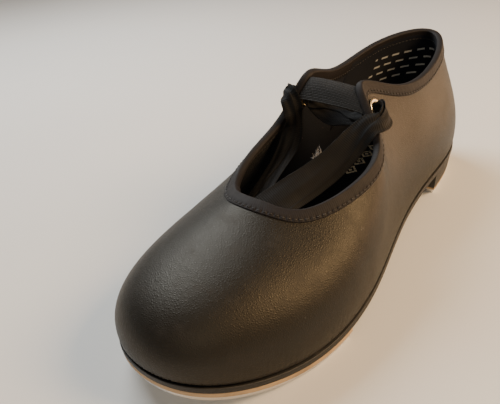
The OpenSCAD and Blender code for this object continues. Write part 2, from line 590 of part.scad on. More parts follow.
toe_back_r = 70;          // radius of the hollow in the toe tap's back edge
heel_front_r = 16;        // radius of the hollow in the heel tap's front edge
heel_tap_front = heel_front + 4;
board_grow = 1;           // distance that a sounding board stands out past its tap
module toe_tap_plan(grow) intersection() {
    polygon(rim(shell_t + welt - tap_inset + grow));
    difference() {
        translate([-big / 2, -big - toe_tap_back + grow]) square([big, big]);
        translate([0, -toe_tap_back + toe_back_r - 4 + grow]) circle(r = toe_back_r, $fn = 96);
    }
}
module heel_tap_plan(grow) intersection() {
    polygon(rim(shell_t + welt - heel_taper - 0.4 - tap_inset + grow));
    difference() {
        translate([-big / 2, heel_tap_front - grow]) square([big, big]);
        translate([heel_x, heel_front - grow]) circle(r = heel_front_r, $fn = 64);
    }
}
module toe_sounding_board() color(fibre) difference() {
    slab(-board_t, 0) toe_tap_plan(board_grow);
    screw_holes();
}
module toe_tap() color(steel) difference() {
    slab(-tap_stack, -board_t) toe_tap_plan(0);
    screw_holes();
}
module heel_sounding_board() color(fibre) difference() {
    translate([0, 0, tap_t]) linear_extrude(height = board_t) heel_tap_plan(board_grow);
    screw_holes();
}
module heel_tap() color(steel) difference() {
    linear_extrude(height = tap_t) heel_tap_plan(0);
    screw_holes();
}
module toe_screw_front() tap_screw(toe_screws[0]);
module toe_screw_outer() tap_screw(toe_screws[1]);
module toe_screw_inner() tap_screw(toe_screws[2]);
module heel_screw_back() tap_screw(heel_screws[0]);
module heel_screw_outer() tap_screw(heel_screws[1]);
module heel_screw_inner() tap_screw(heel_screws[2]);

outsole();
heel_block();
insole_board();
bottom_filler();
shank();
insole_foam();
sock_lining();
heel_nails();
upper();
upper_lining();
toe_puff();
heel_counter();
heel_grip_lining();
lateral_tab_stay();
medial_tab_stay();
topline_binding();
instep_elastic();
lateral_eyelet();
medial_eyelet();
lateral_eyelet_washer();
medial_eyelet_washer();
ribbon_tie();
toe_sounding_board();
heel_sounding_board();
toe_tap();
heel_tap();
toe_screw_front();
toe_screw_outer();
toe_screw_inner();
heel_screw_back();
heel_screw_outer();
heel_screw_inner();
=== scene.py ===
"""Ribbon-tie tap shoe, left foot: the looks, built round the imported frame.

The sewn upper is one surface of two parameters. u runs round the shoe from the toe, up the outer side and
back down the inner side, and v runs from the feather edge (0) to the topline (1). All layers are that surface
moved out by their own depth. Lengths in this script are millimetres, and mesh_piece turns them into metres.
"""
import math

import bmesh
import bpy
import numpy as np
from mathutils import Matrix


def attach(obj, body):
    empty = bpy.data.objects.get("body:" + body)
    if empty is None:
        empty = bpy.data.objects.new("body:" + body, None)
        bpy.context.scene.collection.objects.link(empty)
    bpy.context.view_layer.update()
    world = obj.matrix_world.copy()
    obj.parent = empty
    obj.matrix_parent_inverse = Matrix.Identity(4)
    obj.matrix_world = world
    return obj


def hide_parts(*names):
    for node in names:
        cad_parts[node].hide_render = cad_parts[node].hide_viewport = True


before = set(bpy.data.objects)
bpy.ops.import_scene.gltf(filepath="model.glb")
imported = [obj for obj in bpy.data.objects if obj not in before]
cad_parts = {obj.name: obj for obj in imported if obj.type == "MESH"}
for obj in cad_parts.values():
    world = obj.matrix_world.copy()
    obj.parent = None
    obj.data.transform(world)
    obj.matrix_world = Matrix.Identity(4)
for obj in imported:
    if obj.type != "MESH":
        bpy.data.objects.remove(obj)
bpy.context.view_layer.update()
MM = 0.001

# ---- Sizes shared with the part's source

last_len = 246.0
toe_w = 71.0
ball_w = 92.0
waist_w = 53.0
heel_w = 57.0
waist_flare = 6.0
heel_x = -3.5
vamp_h = 43.0
collar_h = 49.0
back_h = 58.0
tab_h = 75.0
tab_y = 9.0
throat_y = 57.0
lining_t = 0.8
shell_t = 2.4
binding_t = 0.6
binding_w = 5.5
margin_w = 10.0
eyelet_r = 3.5
barrel_r = 4.0
flange_w = 1.6
eyelet_off = 0.75
elastic_t = 1.1
elastic_sewn = 4.6
elastic_slack = 0.05
insole_stack = 4.8          # insole board, foam and sock lining together
outsole_t = 2.8
foot_lift = 5.35            # insole board's underside above the outsole's underside
welt = 0.3
tap_stack = 4.8
heel_h = 15.0
heel_front = 66.0
spring_start = 70.0
spring_r = 150.0
ramp_front = -35.0
ramp_back = 60.0
lateral_eyelet_uv = (5.0, 0.7623)
medial_eyelet_uv = (12.0, 0.7651)

outer_waist = waist_w / 2 + waist_flare / 2
inner_waist = waist_w / 2 - waist_flare / 2
side_y = (throat_y - tab_y) / 2
# Feather x and y, topline x, y and height, the wall's rise and swell, its lean and depth below the topline.
rows = np.array([
    [-0.14 * toe_w, -0.504 * last_len, -6, -throat_y, vamp_h, 25, 3, -29, 11],
    [0.24 * toe_w, -0.5 * last_len, 7, -throat_y + 1, vamp_h, 25, 3, -24, 12],
    [0.49 * toe_w, -0.402 * last_len, 20, -throat_y + 5, vamp_h - 5, 24, 3, -17, 14],
    [0.5 * ball_w, -0.256 * last_len, 31, -side_y, vamp_h, 22, 3, -9, 14],
    [0.435 * ball_w, -0.09 * last_len, 29, tab_y - 5, vamp_h + 3, 20, 3, -5, 14],
    [outer_waist, 0.081 * last_len, 1, tab_y, tab_h, 22, 4, -9, 14],
    [0.5 * heel_w, 0.248 * last_len, 18, tab_y + 33, collar_h - 1, 22, 4, 0, 12],
    [heel_x + 0.5 * heel_w, 0.407 * last_len, 15, 0.36 * last_len, collar_h + 2, 22, 3, -3, 16],
    [heel_x + 0.255 * heel_w, 0.504 * last_len, 4, 0.485 * last_len, back_h - 2, 24, 4, -4, 18],
    [heel_x - 0.255 * heel_w, 0.508 * last_len, -8, 0.488 * last_len, back_h + 1, 24, 4, -3, 18],
    [heel_x - 0.5 * heel_w, 0.41 * last_len, -25, 0.362 * last_len, collar_h + 7, 22, 3, -3, 16],
    [-0.49 * heel_w, 0.252 * last_len, -24, tab_y + 34, collar_h + 1, 22, 4, 0, 12],
    [-inner_waist, 0.081 * last_len, -15, tab_y + 1, tab_h, 22, 4, -9, 14],
    [-0.435 * ball_w, -0.09 * last_len, -27, tab_y - 4, vamp_h + 2, 21, 3, -5, 14],
    [-0.5 * ball_w, -0.268 * last_len, -27, -side_y - 1, vamp_h, 22, 3, -9, 16],
    [-0.5 * toe_w, -0.443 * last_len, -17, -throat_y + 8, vamp_h - 4, 24, 3, -20, 14]])


# ---- The shoe's surfaces

def unit(a):
    """Vectors scaled to length 1."""
    return a / np.linalg.norm(a, axis=-1, keepdims=True)


def smooth_step(t):
    """0 below 0, 1 above 1, and 3t^2 - 2t^3 between."""
    t = np.clip(t, 0, 1)
    return t * t * (3 - 2 * t)


def under(y):
    """Height of the outsole's underside: the taps' depth, an arc up to the toe and a ramp to the heel."""
    toe = np.clip(-spring_start - y, 0, None)
    lift = spring_r - np.sqrt(spring_r ** 2 - toe ** 2)
    ramp = smooth_step((y - ramp_front) / (ramp_back - ramp_front))
    return tap_stack + lift + (heel_h - tap_stack) * ramp


def feather_z(y):
    """Height of the insole board's underside."""
    return under(y) + foot_lift


rows[:, 4] += feather_z(rows[:, 3])


def along(u):
    """The rows' frame at u: a closed uniform cubic B-spline."""
    u = np.asarray(u, float)
    i = np.floor(u).astype(int)
    t = (u - i)[..., None]
    s = 1 - t
    n = len(rows)
    return (s ** 3 * rows[(i - 1) % n] + (3 * t ** 3 - 6 * t ** 2 + 4) * rows[i % n]
            + (3 * s ** 3 - 6 * s ** 2 + 4) * rows[(i + 1) % n] + t ** 3 * rows[(i + 2) % n]) / 6


def outward(u):
    """Unit vector in the ground plane, square to the feather edge and out of the shoe."""
    d = along(u + 0.01) - along(u - 0.01)
    return unit(np.stack([d[..., 1], -d[..., 0], 0 * d[..., 0]], -1))


def foot_point(u, w, d):
    """Point w outside the feather edge and d below the insole board."""
    u, w, d = np.broadcast_arrays(u, w, d)
    r = along(u)
    p = np.stack([r[..., 0], r[..., 1], 0 * r[..., 0]], -1) + w[..., None] * outward(u)
    p[..., 2] = feather_z(p[..., 1]) - d
    return p


def wall(u, v):
    """Point of the last's wall: a cubic Bezier in v between the feather edge and the topline."""
    u, v = np.broadcast_arrays(np.asarray(u, float), np.asarray(v, float))
    r = along(u)
    o = outward(u)
    zero = 0 * r[..., 0]
    foot = foot_point(u, 0, 0)
    top = r[..., 2:5]
    low = foot + r[..., 6:7] * o + np.stack([zero, zero, r[..., 5]], -1)
    high = top - r[..., 7:8] * o - np.stack([zero, zero, r[..., 8]], -1)
    v = v[..., None]
    w = 1 - v
    return w ** 3 * foot + 3 * v * w * w * low + 3 * v * v * w * high + v ** 3 * top


def normal(u, v):
    """Unit vector square to the wall, out of the shoe: the cross product of its two slopes."""
    e = 0.01
    return unit(np.cross(wall(u + e, v) - wall(u - e, v), wall(u, v + e) - wall(u, v - e)))


def skin(u, v, d):
    """The wall moved out by d."""
    u, v, d = np.broadcast_arrays(u, v, d)
    return wall(u, v) + d[..., None] * normal(u, v)


def down_from_top(u, depth):
    """The v that lies a depth below the topline."""
    r = along(u)
    return 1 - depth / (3 * np.hypot(r[..., 7], r[..., 8]))


def frame_at(uv, d):
    """Middle and three axes of an eyelet: out of the tab, along its edge, and square to both."""
    u, v = uv
    n = normal(u, v)
    a = unit(wall(u + 0.05, v) - wall(u - 0.05, v))
    a = unit(a - (a @ n) * n)
    return wall(u, v) + d * n, n, a, np.cross(n, a)


# ---- Making meshes

def lengths(grid):
    """Distances over a grid of points, as a UV map in metres: across the columns, and down the rows."""
    step_u = np.linalg.norm(np.diff(grid, axis=1), axis=2).mean(0)
    step_v = np.linalg.norm(np.diff(grid, axis=0), axis=2)
    across = np.concatenate([[0], np.cumsum(step_u)])
    down = np.vstack([np.zeros(grid.shape[1]), np.cumsum(step_v, axis=0)])
    return np.stack([np.broadcast_to(across, down.shape), down], -1) * MM


def grid_patch(grid, uv=None):
    """Vertices, quads and UVs of one grid of points."""
    m, n = grid.shape[:2]
    i, k = np.meshgrid(np.arange(m - 1), np.arange(n - 1), indexing="ij")
    a = (i * n + k).ravel()
    quads = np.stack([a, a + 1, a + n + 1, a + n], -1)
    uv = lengths(grid) if uv is None else uv
    return grid.reshape(-1, 3), quads, uv.reshape(-1, 2)


def many_patch(template, quads, places):
    """One small shape repeated: places holds a middle and three axes for each copy."""
    middle, axes = places
    points = middle[:, None, :] + np.einsum("kc,ncd->nkd", template, axes)
    count = len(middle)
    faces = (quads[None] + len(template) * np.arange(count)[:, None, None]).reshape(-1, 4)
    uv = np.tile(template[:, :2] * MM, (count, 1))
    return points.reshape(-1, 3), faces, uv


def turned(centre, axes, radii, heights, steps):
    """A profile of radii and heights turned about the first of three axes."""
    turns = np.linspace(0, 2 * np.pi, steps)[None, :, None]
    ring = np.cos(turns) * axes[1] + np.sin(turns) * axes[2]
    rise, reach = (np.reshape(part, (-1, 1, 1)) for part in (heights, radii))
    return grid_patch(centre + rise * axes[0] + reach * ring)


def two_faced(top, low):
    """Patches of a thin panel: two grids of points, and the four strips that join their edges."""
    edges = [np.s_[0], np.s_[-1], np.s_[:, 0], np.s_[:, -1]]
    return [grid_patch(top), grid_patch(low)] + [grid_patch(np.stack([top[k], low[k]])) for k in edges]


def mesh_piece(name, patches, finish, replaces=(), sharp=None):
    """Joins patches into one object in metres, closes its seams, and lets it ride on the shoe."""
    shift = np.cumsum([0] + [len(p[0]) for p in patches])
    verts = np.concatenate([p[0] for p in patches]) * MM
    faces = np.concatenate([p[1] + s for p, s in zip(patches, shift)])
    uvs = np.concatenate([p[2] for p in patches])
    mesh = bpy.data.meshes.new(name)
    mesh.vertices.add(len(verts))
    mesh.vertices.foreach_set("co", verts.ravel())
    mesh.loops.add(faces.size)
    mesh.loops.foreach_set("vertex_index", faces.ravel().astype(np.int32))
    mesh.polygons.add(len(faces))
    mesh.polygons.foreach_set("loop_start", np.arange(0, faces.size, 4, dtype=np.int32))
    mesh.polygons.foreach_set("loop_total", np.full(len(faces), 4, np.int32))
    layer = mesh.uv_layers.new(name="UVMap")
    layer.data.foreach_set("uv", uvs[faces.ravel()].astype(np.float32).ravel())
    mesh.update(calc_edges=True)
    bm = bmesh.new()
    bm.from_mesh(mesh)
    bmesh.ops.remove_doubles(bm, verts=bm.verts, dist=2e-6)
    bmesh.ops.recalc_face_normals(bm, faces=bm.faces)
    bm.to_mesh(mesh)
    bm.free()
    mesh.polygons.foreach_set("use_smooth", np.ones(len(mesh.polygons), bool))
    if sharp:
        mesh.set_sharp_from_angle(angle=math.radians(sharp))
    obj = bpy.data.objects.new(name, mesh)
    bpy.context.scene.collection.objects.link(obj)
    mesh.materials.append(finish)
    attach(obj, "shoe")
    if replaces:
        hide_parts(*replaces)
    return obj


def carve(obj, patches):
    """Cuts closed turned shapes out of a piece."""
    cutter = mesh_piece("cutter", patches, None)
    change = obj.modifiers.new("cut", "BOOLEAN")
    change.operation = "DIFFERENCE"
    change.solver = "EXACT"
    change.object = cutter
    graph = bpy.context.evaluated_depsgraph_get()
    graph.update()
    old = obj.data
    carved = bpy.data.meshes.new_from_object(obj.evaluated_get(graph))
    obj.modifiers.clear()
    obj.data = carved
    bpy.data.meshes.remove(old)
    bpy.data.objects.remove(cutter, do_unlink=True)


def cut_eyelet_holes(obj):
    """Punches both eyelet holes through a shell, with a round cutter along each eyelet's axis."""
    radii = (barrel_r + 0.1) * np.array([0, 1, 1, 0])
    heights = [-9, -9, 9, 9]
    frames = [frame_at(uv, 0) for uv in (lateral_eyelet_uv, medial_eyelet_uv)]
    carve(obj, [turned(place[0], place[1:], radii, heights, 49) for place in frames])


# ---- Finishes

class Value:
    """A number that varies over a surface. Its operators add Math nodes."""

    def __init__(self, finish, socket):
        self.finish = finish
        self.socket = socket

    def maths(self, kind, a, b=0.0):
        return self.finish.node("Math", {"operation": kind}, {0: a, 1: b})

    def __add__(self, b):
        return self.maths("ADD", self, b)

    def __sub__(self, b):
        return self.maths("SUBTRACT", self, b)

    def __rsub__(self, b):
        return self.maths("SUBTRACT", b, self)

    def __mul__(self, b):
        return self.maths("MULTIPLY", self, b)

    def __truediv__(self, b):
        return self.maths("DIVIDE", self, b)

    def __pow__(self, b):
        return self.maths("POWER", self, b)

    __radd__ = __add__
    __rmul__ = __mul__

    def sin(self):
        return self.maths("SINE", self)

    def part(self):
        return self.maths("FRACT", self)

    def size(self):
        return self.maths("ABSOLUTE", self)

    def top(self, b):
        return self.maths("MAXIMUM", self, b)

    def low(self, b):
        return self.maths("MINIMUM", self, b)

    def rise(self, start, end):
        """Smooth step from 0 at start to 1 at end."""
        return self.finish.node("MapRange", {"interpolation_type": "SMOOTHSTEP"},
                                {0: self, 1: start, 2: end})

    def ribs(self, pitch):
        """A wave between 0 and 1 that repeats at a pitch."""
        return (self * (2 * math.pi / pitch)).sin() * 0.5 + 0.5


class Finish:
    """A material: its Principled shader takes fixed values at once, and varying ones at the end."""

    def __init__(self, name, **fixed):
        self.material = bpy.data.materials.new(name)
        self.material.use_nodes = True
        self.tree = self.material.node_tree
        self.shader = self.tree.nodes["Principled BSDF"]
        for key, value in fixed.items():
            label = key.replace("_", " ").title().replace("Ior", "IOR")
            self.shader.inputs[label].default_value = value

    def node(self, kind, settings=None, inputs=None, out=0):
        """One node of a type, with its settings and its sockets' values or links."""
        made = self.tree.nodes.new("ShaderNode" + kind)
        for key, value in (settings or {}).items():
            setattr(made, key, value)
        for key, value in (inputs or {}).items():
            if isinstance(value, Value):
                self.tree.links.new(value.socket, made.inputs[key])
            else:
                made.inputs[key].default_value = value
        return Value(self, made.outputs[out])

    def place(self):
        return self.node("TexCoord", out="Object")

    def surface(self):
        return self.node("UVMap", {"uv_map": "UVMap"})

    def axes(self, vector):
        """The three numbers of a vector."""
        node = self.node("SeparateXYZ", inputs={0: vector}).socket.node
        return [Value(self, s) for s in node.outputs]

    def scaled(self, vector, x, y, z):
        return self.node("VectorMath", {"operation": "MULTIPLY"}, {0: vector, 1: (x, y, z)})

    def noise(self, vector, scale, detail=2.0, roughness=0.5):
        return self.node("TexNoise", {"normalize": True},
                         {"Vector": vector, "Scale": scale, "Detail": detail, "Roughness": roughness})

    def cells(self, vector, scale, feature="DISTANCE_TO_EDGE"):
        return self.node("TexVoronoi", {"feature": feature}, {"Vector": vector, "Scale": scale})

    def jitter(self, vector, scale, amount):
        """The vector moved about by a colour noise."""
        settings = {"Vector": vector, "Scale": scale, "Detail": 1.0}
        colour = self.node("TexNoise", {"normalize": True}, settings, out=1)
        middle = self.node("VectorMath", {"operation": "SUBTRACT"}, {0: colour, 1: (0.5, 0.5, 0.5)})
        moved = self.scaled(middle, amount, amount, amount)
        return self.node("VectorMath", {"operation": "ADD"}, {0: vector, 1: moved})

    def blend(self, amount, a, b):
        """Colour a where amount is 0, and b where it is 1."""
        return self.node("Mix", {"data_type": "RGBA"}, {0: amount, 6: a, 7: b}, out=2)

    def finish(self, colour, rough, height, metal=None):
        """Links what varies. height is in metres, and it reaches the Normal socket through a Bump node."""
        bump = self.node("Bump", {}, {"Strength": 1.0, "Distance": 1.0, "Height": height})
        links = {"Base Color": colour, "Roughness": rough, "Metallic": metal, "Normal": bump}
        for key, value in links.items():
            if isinstance(value, Value):
                self.tree.links.new(value.socket, self.shader.inputs[key])
            elif value is not None:
                self.shader.inputs[key].default_value = value
        return self.material


def tone(r, g, b):
    return (r, g, b, 1.0)


def upper_leather():
    """Soft synthetic leather: pebbles 0.8 mm across, creases between them, faint rubs and scuffs."""
    f = Finish("upper_leather", ior=1.5, specular_ior_level=0.36, specular_tint=tone(1.0, 0.94, 0.82))
    p = f.place()
    pebble = f.cells(f.jitter(p, 900, 0.0005), 1150).rise(0.02, 0.42)
    fine = f.noise(p, 5200, 3)
    broad = f.noise(p, 26, 3)
    rub = f.noise(p, 95, 4, 0.62).rise(0.5, 0.78)
    x, y, z = f.axes(p)
    toe = (y * -1).rise(0.088, 0.124)
    streak = f.noise(f.scaled(p, 260, 900, 420), 1, 2).rise(0.735, 0.8)
    scuff = streak * f.noise(p, 48, 2).rise(0.56, 0.66)
    black = f.blend(broad, tone(0.0068, 0.006, 0.0048), tone(0.011, 0.0092, 0.0068))
    worn = f.blend(rub * 0.55 + toe * 0.25, black, tone(0.021, 0.018, 0.0155))
    colour = f.blend(scuff * 0.5, worn, tone(0.2, 0.19, 0.18))
    rough = broad * 0.12 + rub * 0.09 + fine * 0.06 + (1 - pebble) * 0.1 + 0.3
    height = pebble * 0.00005 + fine * 0.000012 + f.noise(p, 320, 2) * 0.00006
    return f.finish(colour, rough, height)


def woven(name, thread, dark, light, rough, drop=0.00012, sheen=0.3, speck=0.0, plan=False):
    """Plain weave: threads of two directions pass over each other, so the larger of two waves shows."""
    f = Finish(name, sheen_weight=sheen, sheen_roughness=0.5, specular_ior_level=0.25)
    p = f.place() if plan else f.surface()
    x, y, z = f.axes(p)
    turns = math.pi / thread
    across = (x * turns).sin()
    down = (y * turns).sin()
    weft = (across * down).rise(-0.2, 0.6) * (1 - (down * down) * 0.5)
    warp = (across * down * -1).rise(-0.2, 0.6) * (1 - (across * across) * 0.5)
    fibre = f.noise(p, 4200, 3, 0.7)
    patch = f.noise(p, 60, 3)
    level = weft.top(warp)
    colour = f.blend(level * 0.55 + fibre * 0.3 + patch * 0.2, dark, light)
    if speck:
        lint = f.cells(f.jitter(p, 300, 0.003), 330, "F1").rise(0.1, 0.04)
        lint = lint * f.noise(p, 170, 2).rise(0.55, 0.62)
        colour = f.blend(lint * speck, colour, tone(0.42, 0.41, 0.4))
    height = level * drop + fibre * 0.00004
    return f, colour, patch * 0.1 + rough, height


def lining_cloth():
    """Brushed navy lining: a fine weave under a nap that catches a little light and some lint."""
    parts = woven("lining_cloth", 0.0007, tone(0.003, 0.0042, 0.0085), tone(0.0075, 0.0105, 0.02),
                  0.86, 0.00007, 0.03, 0.4)
    return parts[0].finish(*parts[1:])


def grip_cloth():
    """Suede-like heel grip with rows of pale dashes printed on its back part."""
    f = Finish("grip_cloth", sheen_weight=0.03, sheen_roughness=0.45, specular_ior_level=0.25)
    p = f.surface()
    x, y, z = f.axes(p)
    nap = f.noise(p, 2600, 4, 0.7)
    cloud = f.noise(p, 70, 3)
    row = y / 0.0055
    step = (x + (row - row.part()) * 0.0037) / 0.0092
    dash = (0.5 - (step.part() - 0.5).size()).rise(0.19, 0.23)
    line = (0.5 - (row.part() - 0.5).size()).rise(0.37, 0.41)
    field = x.rise(0.06, 0.062) * (1 - x.rise(0.122, 0.124))
    field = field * y.rise(0.0105, 0.011) * (1 - y.rise(0.0325, 0.033))
    ink = dash * line * field * (0.35 + nap * 0.8).low(1.0)
    colour = f.blend(cloud, tone(0.0033, 0.0046, 0.009), tone(0.0065, 0.009, 0.0165))
    colour = f.blend(ink * 0.75, colour, tone(0.8, 0.82, 0.8))
    return f.finish(colour, cloud * 0.1 + 0.78 - ink * 0.2, nap * 0.00007 + ink * 0.00003)


def binding_tape():
    """Folded tape in brown black: ribs 0.9 mm apart across it, and fine threads."""
    f = Finish("binding_tape", sheen_weight=0.03, sheen_roughness=0.4, specular_ior_level=0.3)
    p = f.surface()
    x, y, z = f.axes(p)
    rib = x.ribs(0.0009)
    thread = y.ribs(0.00042)
    fuzz = f.noise(p, 3800, 3, 0.65)
    cloud = f.noise(p, 110, 3)
    colour = f.blend(rib * 0.35 + thread * 0.25 + fuzz * 0.5,
                     tone(0.0042, 0.0032, 0.0036), tone(0.0115, 0.0085, 0.0092))
    colour = f.blend(cloud.rise(0.5, 0.75) * 0.5, colour, tone(0.0155, 0.0115, 0.0118))
    return f.finish(colour, 0.72 - cloud * 0.14, rib * 0.00003 + thread * 0.00002 + fuzz * 0.00003)


def sewing_thread():
    """Twisted polyester: fine turns of ply across each stitch."""
    f = Finish("sewing_thread", sheen_weight=0.05)
    x, y, z = f.axes(f.surface())
    ply = (x + y).ribs(0.0004)
    colour = f.blend(ply, tone(0.004, 0.0035, 0.0035), tone(0.016, 0.012, 0.012))
    return f.finish(colour, 0.42 - ply * 0.08, ply * 0.00004)


def elastic_webbing():
    """Knitted elastic: rubber cords along it, and small knit loops that cross them."""
    f = Finish("elastic_webbing", sheen_weight=0.04, sheen_roughness=0.4, specular_ior_level=0.3)
    p = f.surface()
    x, y, z = f.axes(p)
    lane = x / 0.0014
    cord = (0.5 - (lane.part() - 0.5).size()) * 2
    loop = (y / 0.0016 + (lane - lane.part()) * 0.5).ribs(1)
    fuzz = f.noise(p, 3600, 3, 0.7)
    wear = f.noise(p, 140, 3)
    colour = f.blend(cord * 0.6 + loop * 0.25 + fuzz * 0.2,
                     tone(0.0045, 0.0045, 0.0045), tone(0.032, 0.03, 0.029))
    colour = f.blend(wear.rise(0.5, 0.7) * 0.3, colour, tone(0.038, 0.034, 0.031))
    return f.finish(colour, 0.7 - cord * 0.08, cord * 0.00006 + loop * 0.00007 + fuzz * 0.00003)


def ribbon_grosgrain():
    """Grosgrain: round cross ribs 0.9 mm apart, and tight selvedges along both edges."""
    f = Finish("ribbon_grosgrain", sheen_weight=0.02, sheen_roughness=0.35, specular_ior_level=0.2)
    p = f.surface()
    x, y, z = f.axes(p)
    rib = (y + f.noise(p, 220, 1) * 0.0002).ribs(0.0009)
    thread = x.ribs(0.00033)
    edge = (x - 0.011).size().rise(0.0098, 0.0104)
    fuzz = f.noise(p, 3600, 3, 0.65)
    cloud = f.noise(p, 85, 3)
    level = rib * (1 - edge)
    colour = f.blend(level * 0.5 + thread * 0.2 + fuzz * 0.3,
                     tone(0.0022, 0.0023, 0.0028), tone(0.0125, 0.0125, 0.0138))
    colour = f.blend(cloud.rise(0.48, 0.72) * 0.4, colour, tone(0.017, 0.0145, 0.0125))
    return f.finish(colour, 0.74 - cloud * 0.12, level * 0.00009 + thread * 0.00002 + fuzz * 0.00002)


def eyelet_brass():
    """Plated brass: fine turning marks, small dents, and the plating worn through to yellow at the rim."""
    f = Finish("eyelet_brass", metallic=1.0, coat_weight=0.2, coat_roughness=0.2)
    p = f.place()
    mark = f.noise(f.scaled(p, 1, 1, 3), 2400, 3, 0.6)
    dent = f.noise(p, 620, 3)
    dull = f.noise(p, 300, 2).rise(0.42, 0.7)
    colour = f.blend(dull, tone(0.74, 0.66, 0.5), tone(0.5, 0.36, 0.17))
    colour = f.blend(dent.rise(0.62, 0.75) * 0.6, colour, tone(0.12, 0.08, 0.04))
    return f.finish(colour, 0.2 + dull * 0.18 + mark * 0.12, mark * 0.000014 + dent * 0.00005)


def sock_cloth():
    """Dark twill sock lining, shiny where the foot has rubbed it, with a worn gold chain of diamonds. The
    chain is a real print, but its gold is painted pale and bright: painted shine that makes up for the shade
    it lies in.
    """
    dark, light = tone(0.0035, 0.004, 0.005), tone(0.01, 0.011, 0.014)
    f, colour, rough, height = woven("sock_cloth", 0.0008, dark, light, 0.78, 0.00008, 0.03, 0.3, True)
    p = f.place()
    x, y, z = f.axes(p)
    start, pitch, count = 0.0295, 0.0092, 4
    run = (y - start) / pitch
    across = ((x + 0.0072) / pitch).size()
    along_it = (run.part() - 0.5).size()
    reach = across + along_it
    ring = reach.rise(0.26, 0.29) * (1 - reach.rise(0.45, 0.48))
    dot = 1 - reach.rise(0.12, 0.15)
    end = start + count * pitch
    band = y.rise(start, start + 0.0001) * (1 - y.rise(end, end + 0.0001))
    worn = f.noise(p, 900, 3, 0.6).rise(0.34, 0.5)
    gold = (ring + dot).low(1.0) * band * worn
    heel = 1 - (((x + 0.0035) * 55) ** 2 + ((y - 0.092) * 45) ** 2).rise(0.4, 1.3)
    colour = f.blend(heel * 0.4, colour, tone(0.03, 0.028, 0.027))
    # Painted shine: the gold print's colour is raised to a pale, near-white gold, to make up for the shade
    # inside the shoe.
    colour = f.blend(gold * 0.92, colour, tone(1.0, 0.86, 0.58))
    return f.finish(colour, rough - heel * 0.18 - gold * 0.3, height + gold * 0.00004, gold * 0.1)


def sole_rubber():
    """Moulded black rubber: a pebbled face, an edge with fine marks along it, and dust in low spots."""
    f = Finish("sole_rubber", ior=1.5)
    p = f.place()
    pebble = f.cells(f.jitter(p, 700, 0.0005), 900).rise(0.02, 0.4)
    buff = f.noise(f.scaled(p, 90, 90, 2400), 1, 3)
    dust = f.noise(p, 140, 4, 0.65).rise(0.52, 0.72)
    broad = f.noise(p, 30, 2)
    colour = f.blend(broad, tone(0.009, 0.009, 0.0095), tone(0.015, 0.0142, 0.0135))
    colour = f.blend(dust * 0.45, colour, tone(0.05, 0.046, 0.04))
    return f.finish(colour, 0.55 + dust * 0.2 - pebble * 0.06, pebble * 0.00005 + buff * 0.00004)


def fibreboard(name, dark, light, rough):
    """Pressed fibre: short fibres lying in plan, thin layers on cut edges, and stained patches."""
    f = Finish(name)
    p = f.place()
    fibres = f.noise(f.scaled(p, 1500, 420, 5200), 1, 4, 0.65)
    layers = f.noise(f.scaled(p, 60, 60, 3400), 1, 2)
    stain = f.noise(p, 75, 4, 0.6).rise(0.5, 0.74)
    colour = f.blend(fibres * 0.55 + layers * 0.45, dark, light)
    colour = f.blend(stain * 0.5, colour, tone(0.13, 0.085, 0.05))
    return f.finish(colour, rough - stain * 0.1, fibres * 0.00006 + layers * 0.00004)


def tap_aluminium():
    """Cast and tumbled aluminium: scratches from the floor on the face, and dark pits."""
    f = Finish("tap_aluminium", metallic=1.0)
    p = f.place()
    turned = f.node("VectorRotate", {"rotation_type": "Z_AXIS"}, {"Vector": p, "Angle": 0.5})
    back = f.node("VectorRotate", {"rotation_type": "Z_AXIS"}, {"Vector": p, "Angle": -0.35})
    long_marks = f.noise(f.scaled(turned, 2600, 70, 600), 1, 3, 0.7).rise(0.55, 0.72)
    cross_marks = f.noise(f.scaled(back, 90, 3100, 600), 1, 3, 0.7).rise(0.57, 0.74)
    pits = f.cells(p, 520, "F1").rise(0.12, 0.05) * f.noise(p, 150, 2).rise(0.5, 0.6)
    cloud = f.noise(p, 60, 4, 0.6)
    marks = long_marks.top(cross_marks)
    colour = f.blend(cloud, tone(0.54, 0.54, 0.55), tone(0.76, 0.75, 0.74))
    colour = f.blend(pits * 0.7 + marks * 0.15, colour, tone(0.12, 0.115, 0.11))
    rough = 0.24 + cloud * 0.16 + marks * 0.16
    return f.finish(colour, rough, cloud * 0.00005 - marks * 0.00003 - pits * 0.00008)


def plated_steel(name, bright, dark):
    """Zinc plate: a soft spangle, with a little white and brown bloom."""
    f = Finish(name, metallic=1.0)
    p = f.place()
    spangle = f.cells(p, 1300, "F1")
    bloom = f.noise(p, 420, 4, 0.65).rise(0.55, 0.75)
    marks = f.noise(f.scaled(p, 900, 900, 5200), 1, 3)
    colour = f.blend(spangle, bright, dark)
    colour = f.blend(bloom * 0.6, colour, tone(0.21, 0.17, 0.13))
    return f.finish(colour, 0.26 + bloom * 0.3 + marks * 0.08, marks * 0.00002 + bloom * 0.00002)


def cork_filler():
    """Ground cork in binder: grains 1.5 mm across in several browns."""
    f = Finish("cork_filler")
    p = f.place()
    grain = f.node("TexVoronoi", {"feature": "F1"}, {"Vector": p, "Scale": 650.0}, out=1)
    shade = f.axes(grain)[0]
    seam = f.cells(p, 650).rise(0.0, 0.12)
    colour = f.blend(shade, tone(0.22, 0.12, 0.06), tone(0.42, 0.27, 0.14))
    colour = f.blend((1 - seam) * 0.7, colour, tone(0.09, 0.05, 0.03))
    return f.finish(colour, 0.9, seam * 0.0001)


def cushion_foam():
    """Grey latex foam with open pores."""
    f = Finish("cushion_foam")
    p = f.place()
    pore = f.cells(p, 1700, "F1").rise(0.08, 0.4)
    colour = f.blend(pore, tone(0.05, 0.052, 0.06), tone(0.13, 0.135, 0.15))
    return f.finish(colour, 0.92, pore * 0.0001)


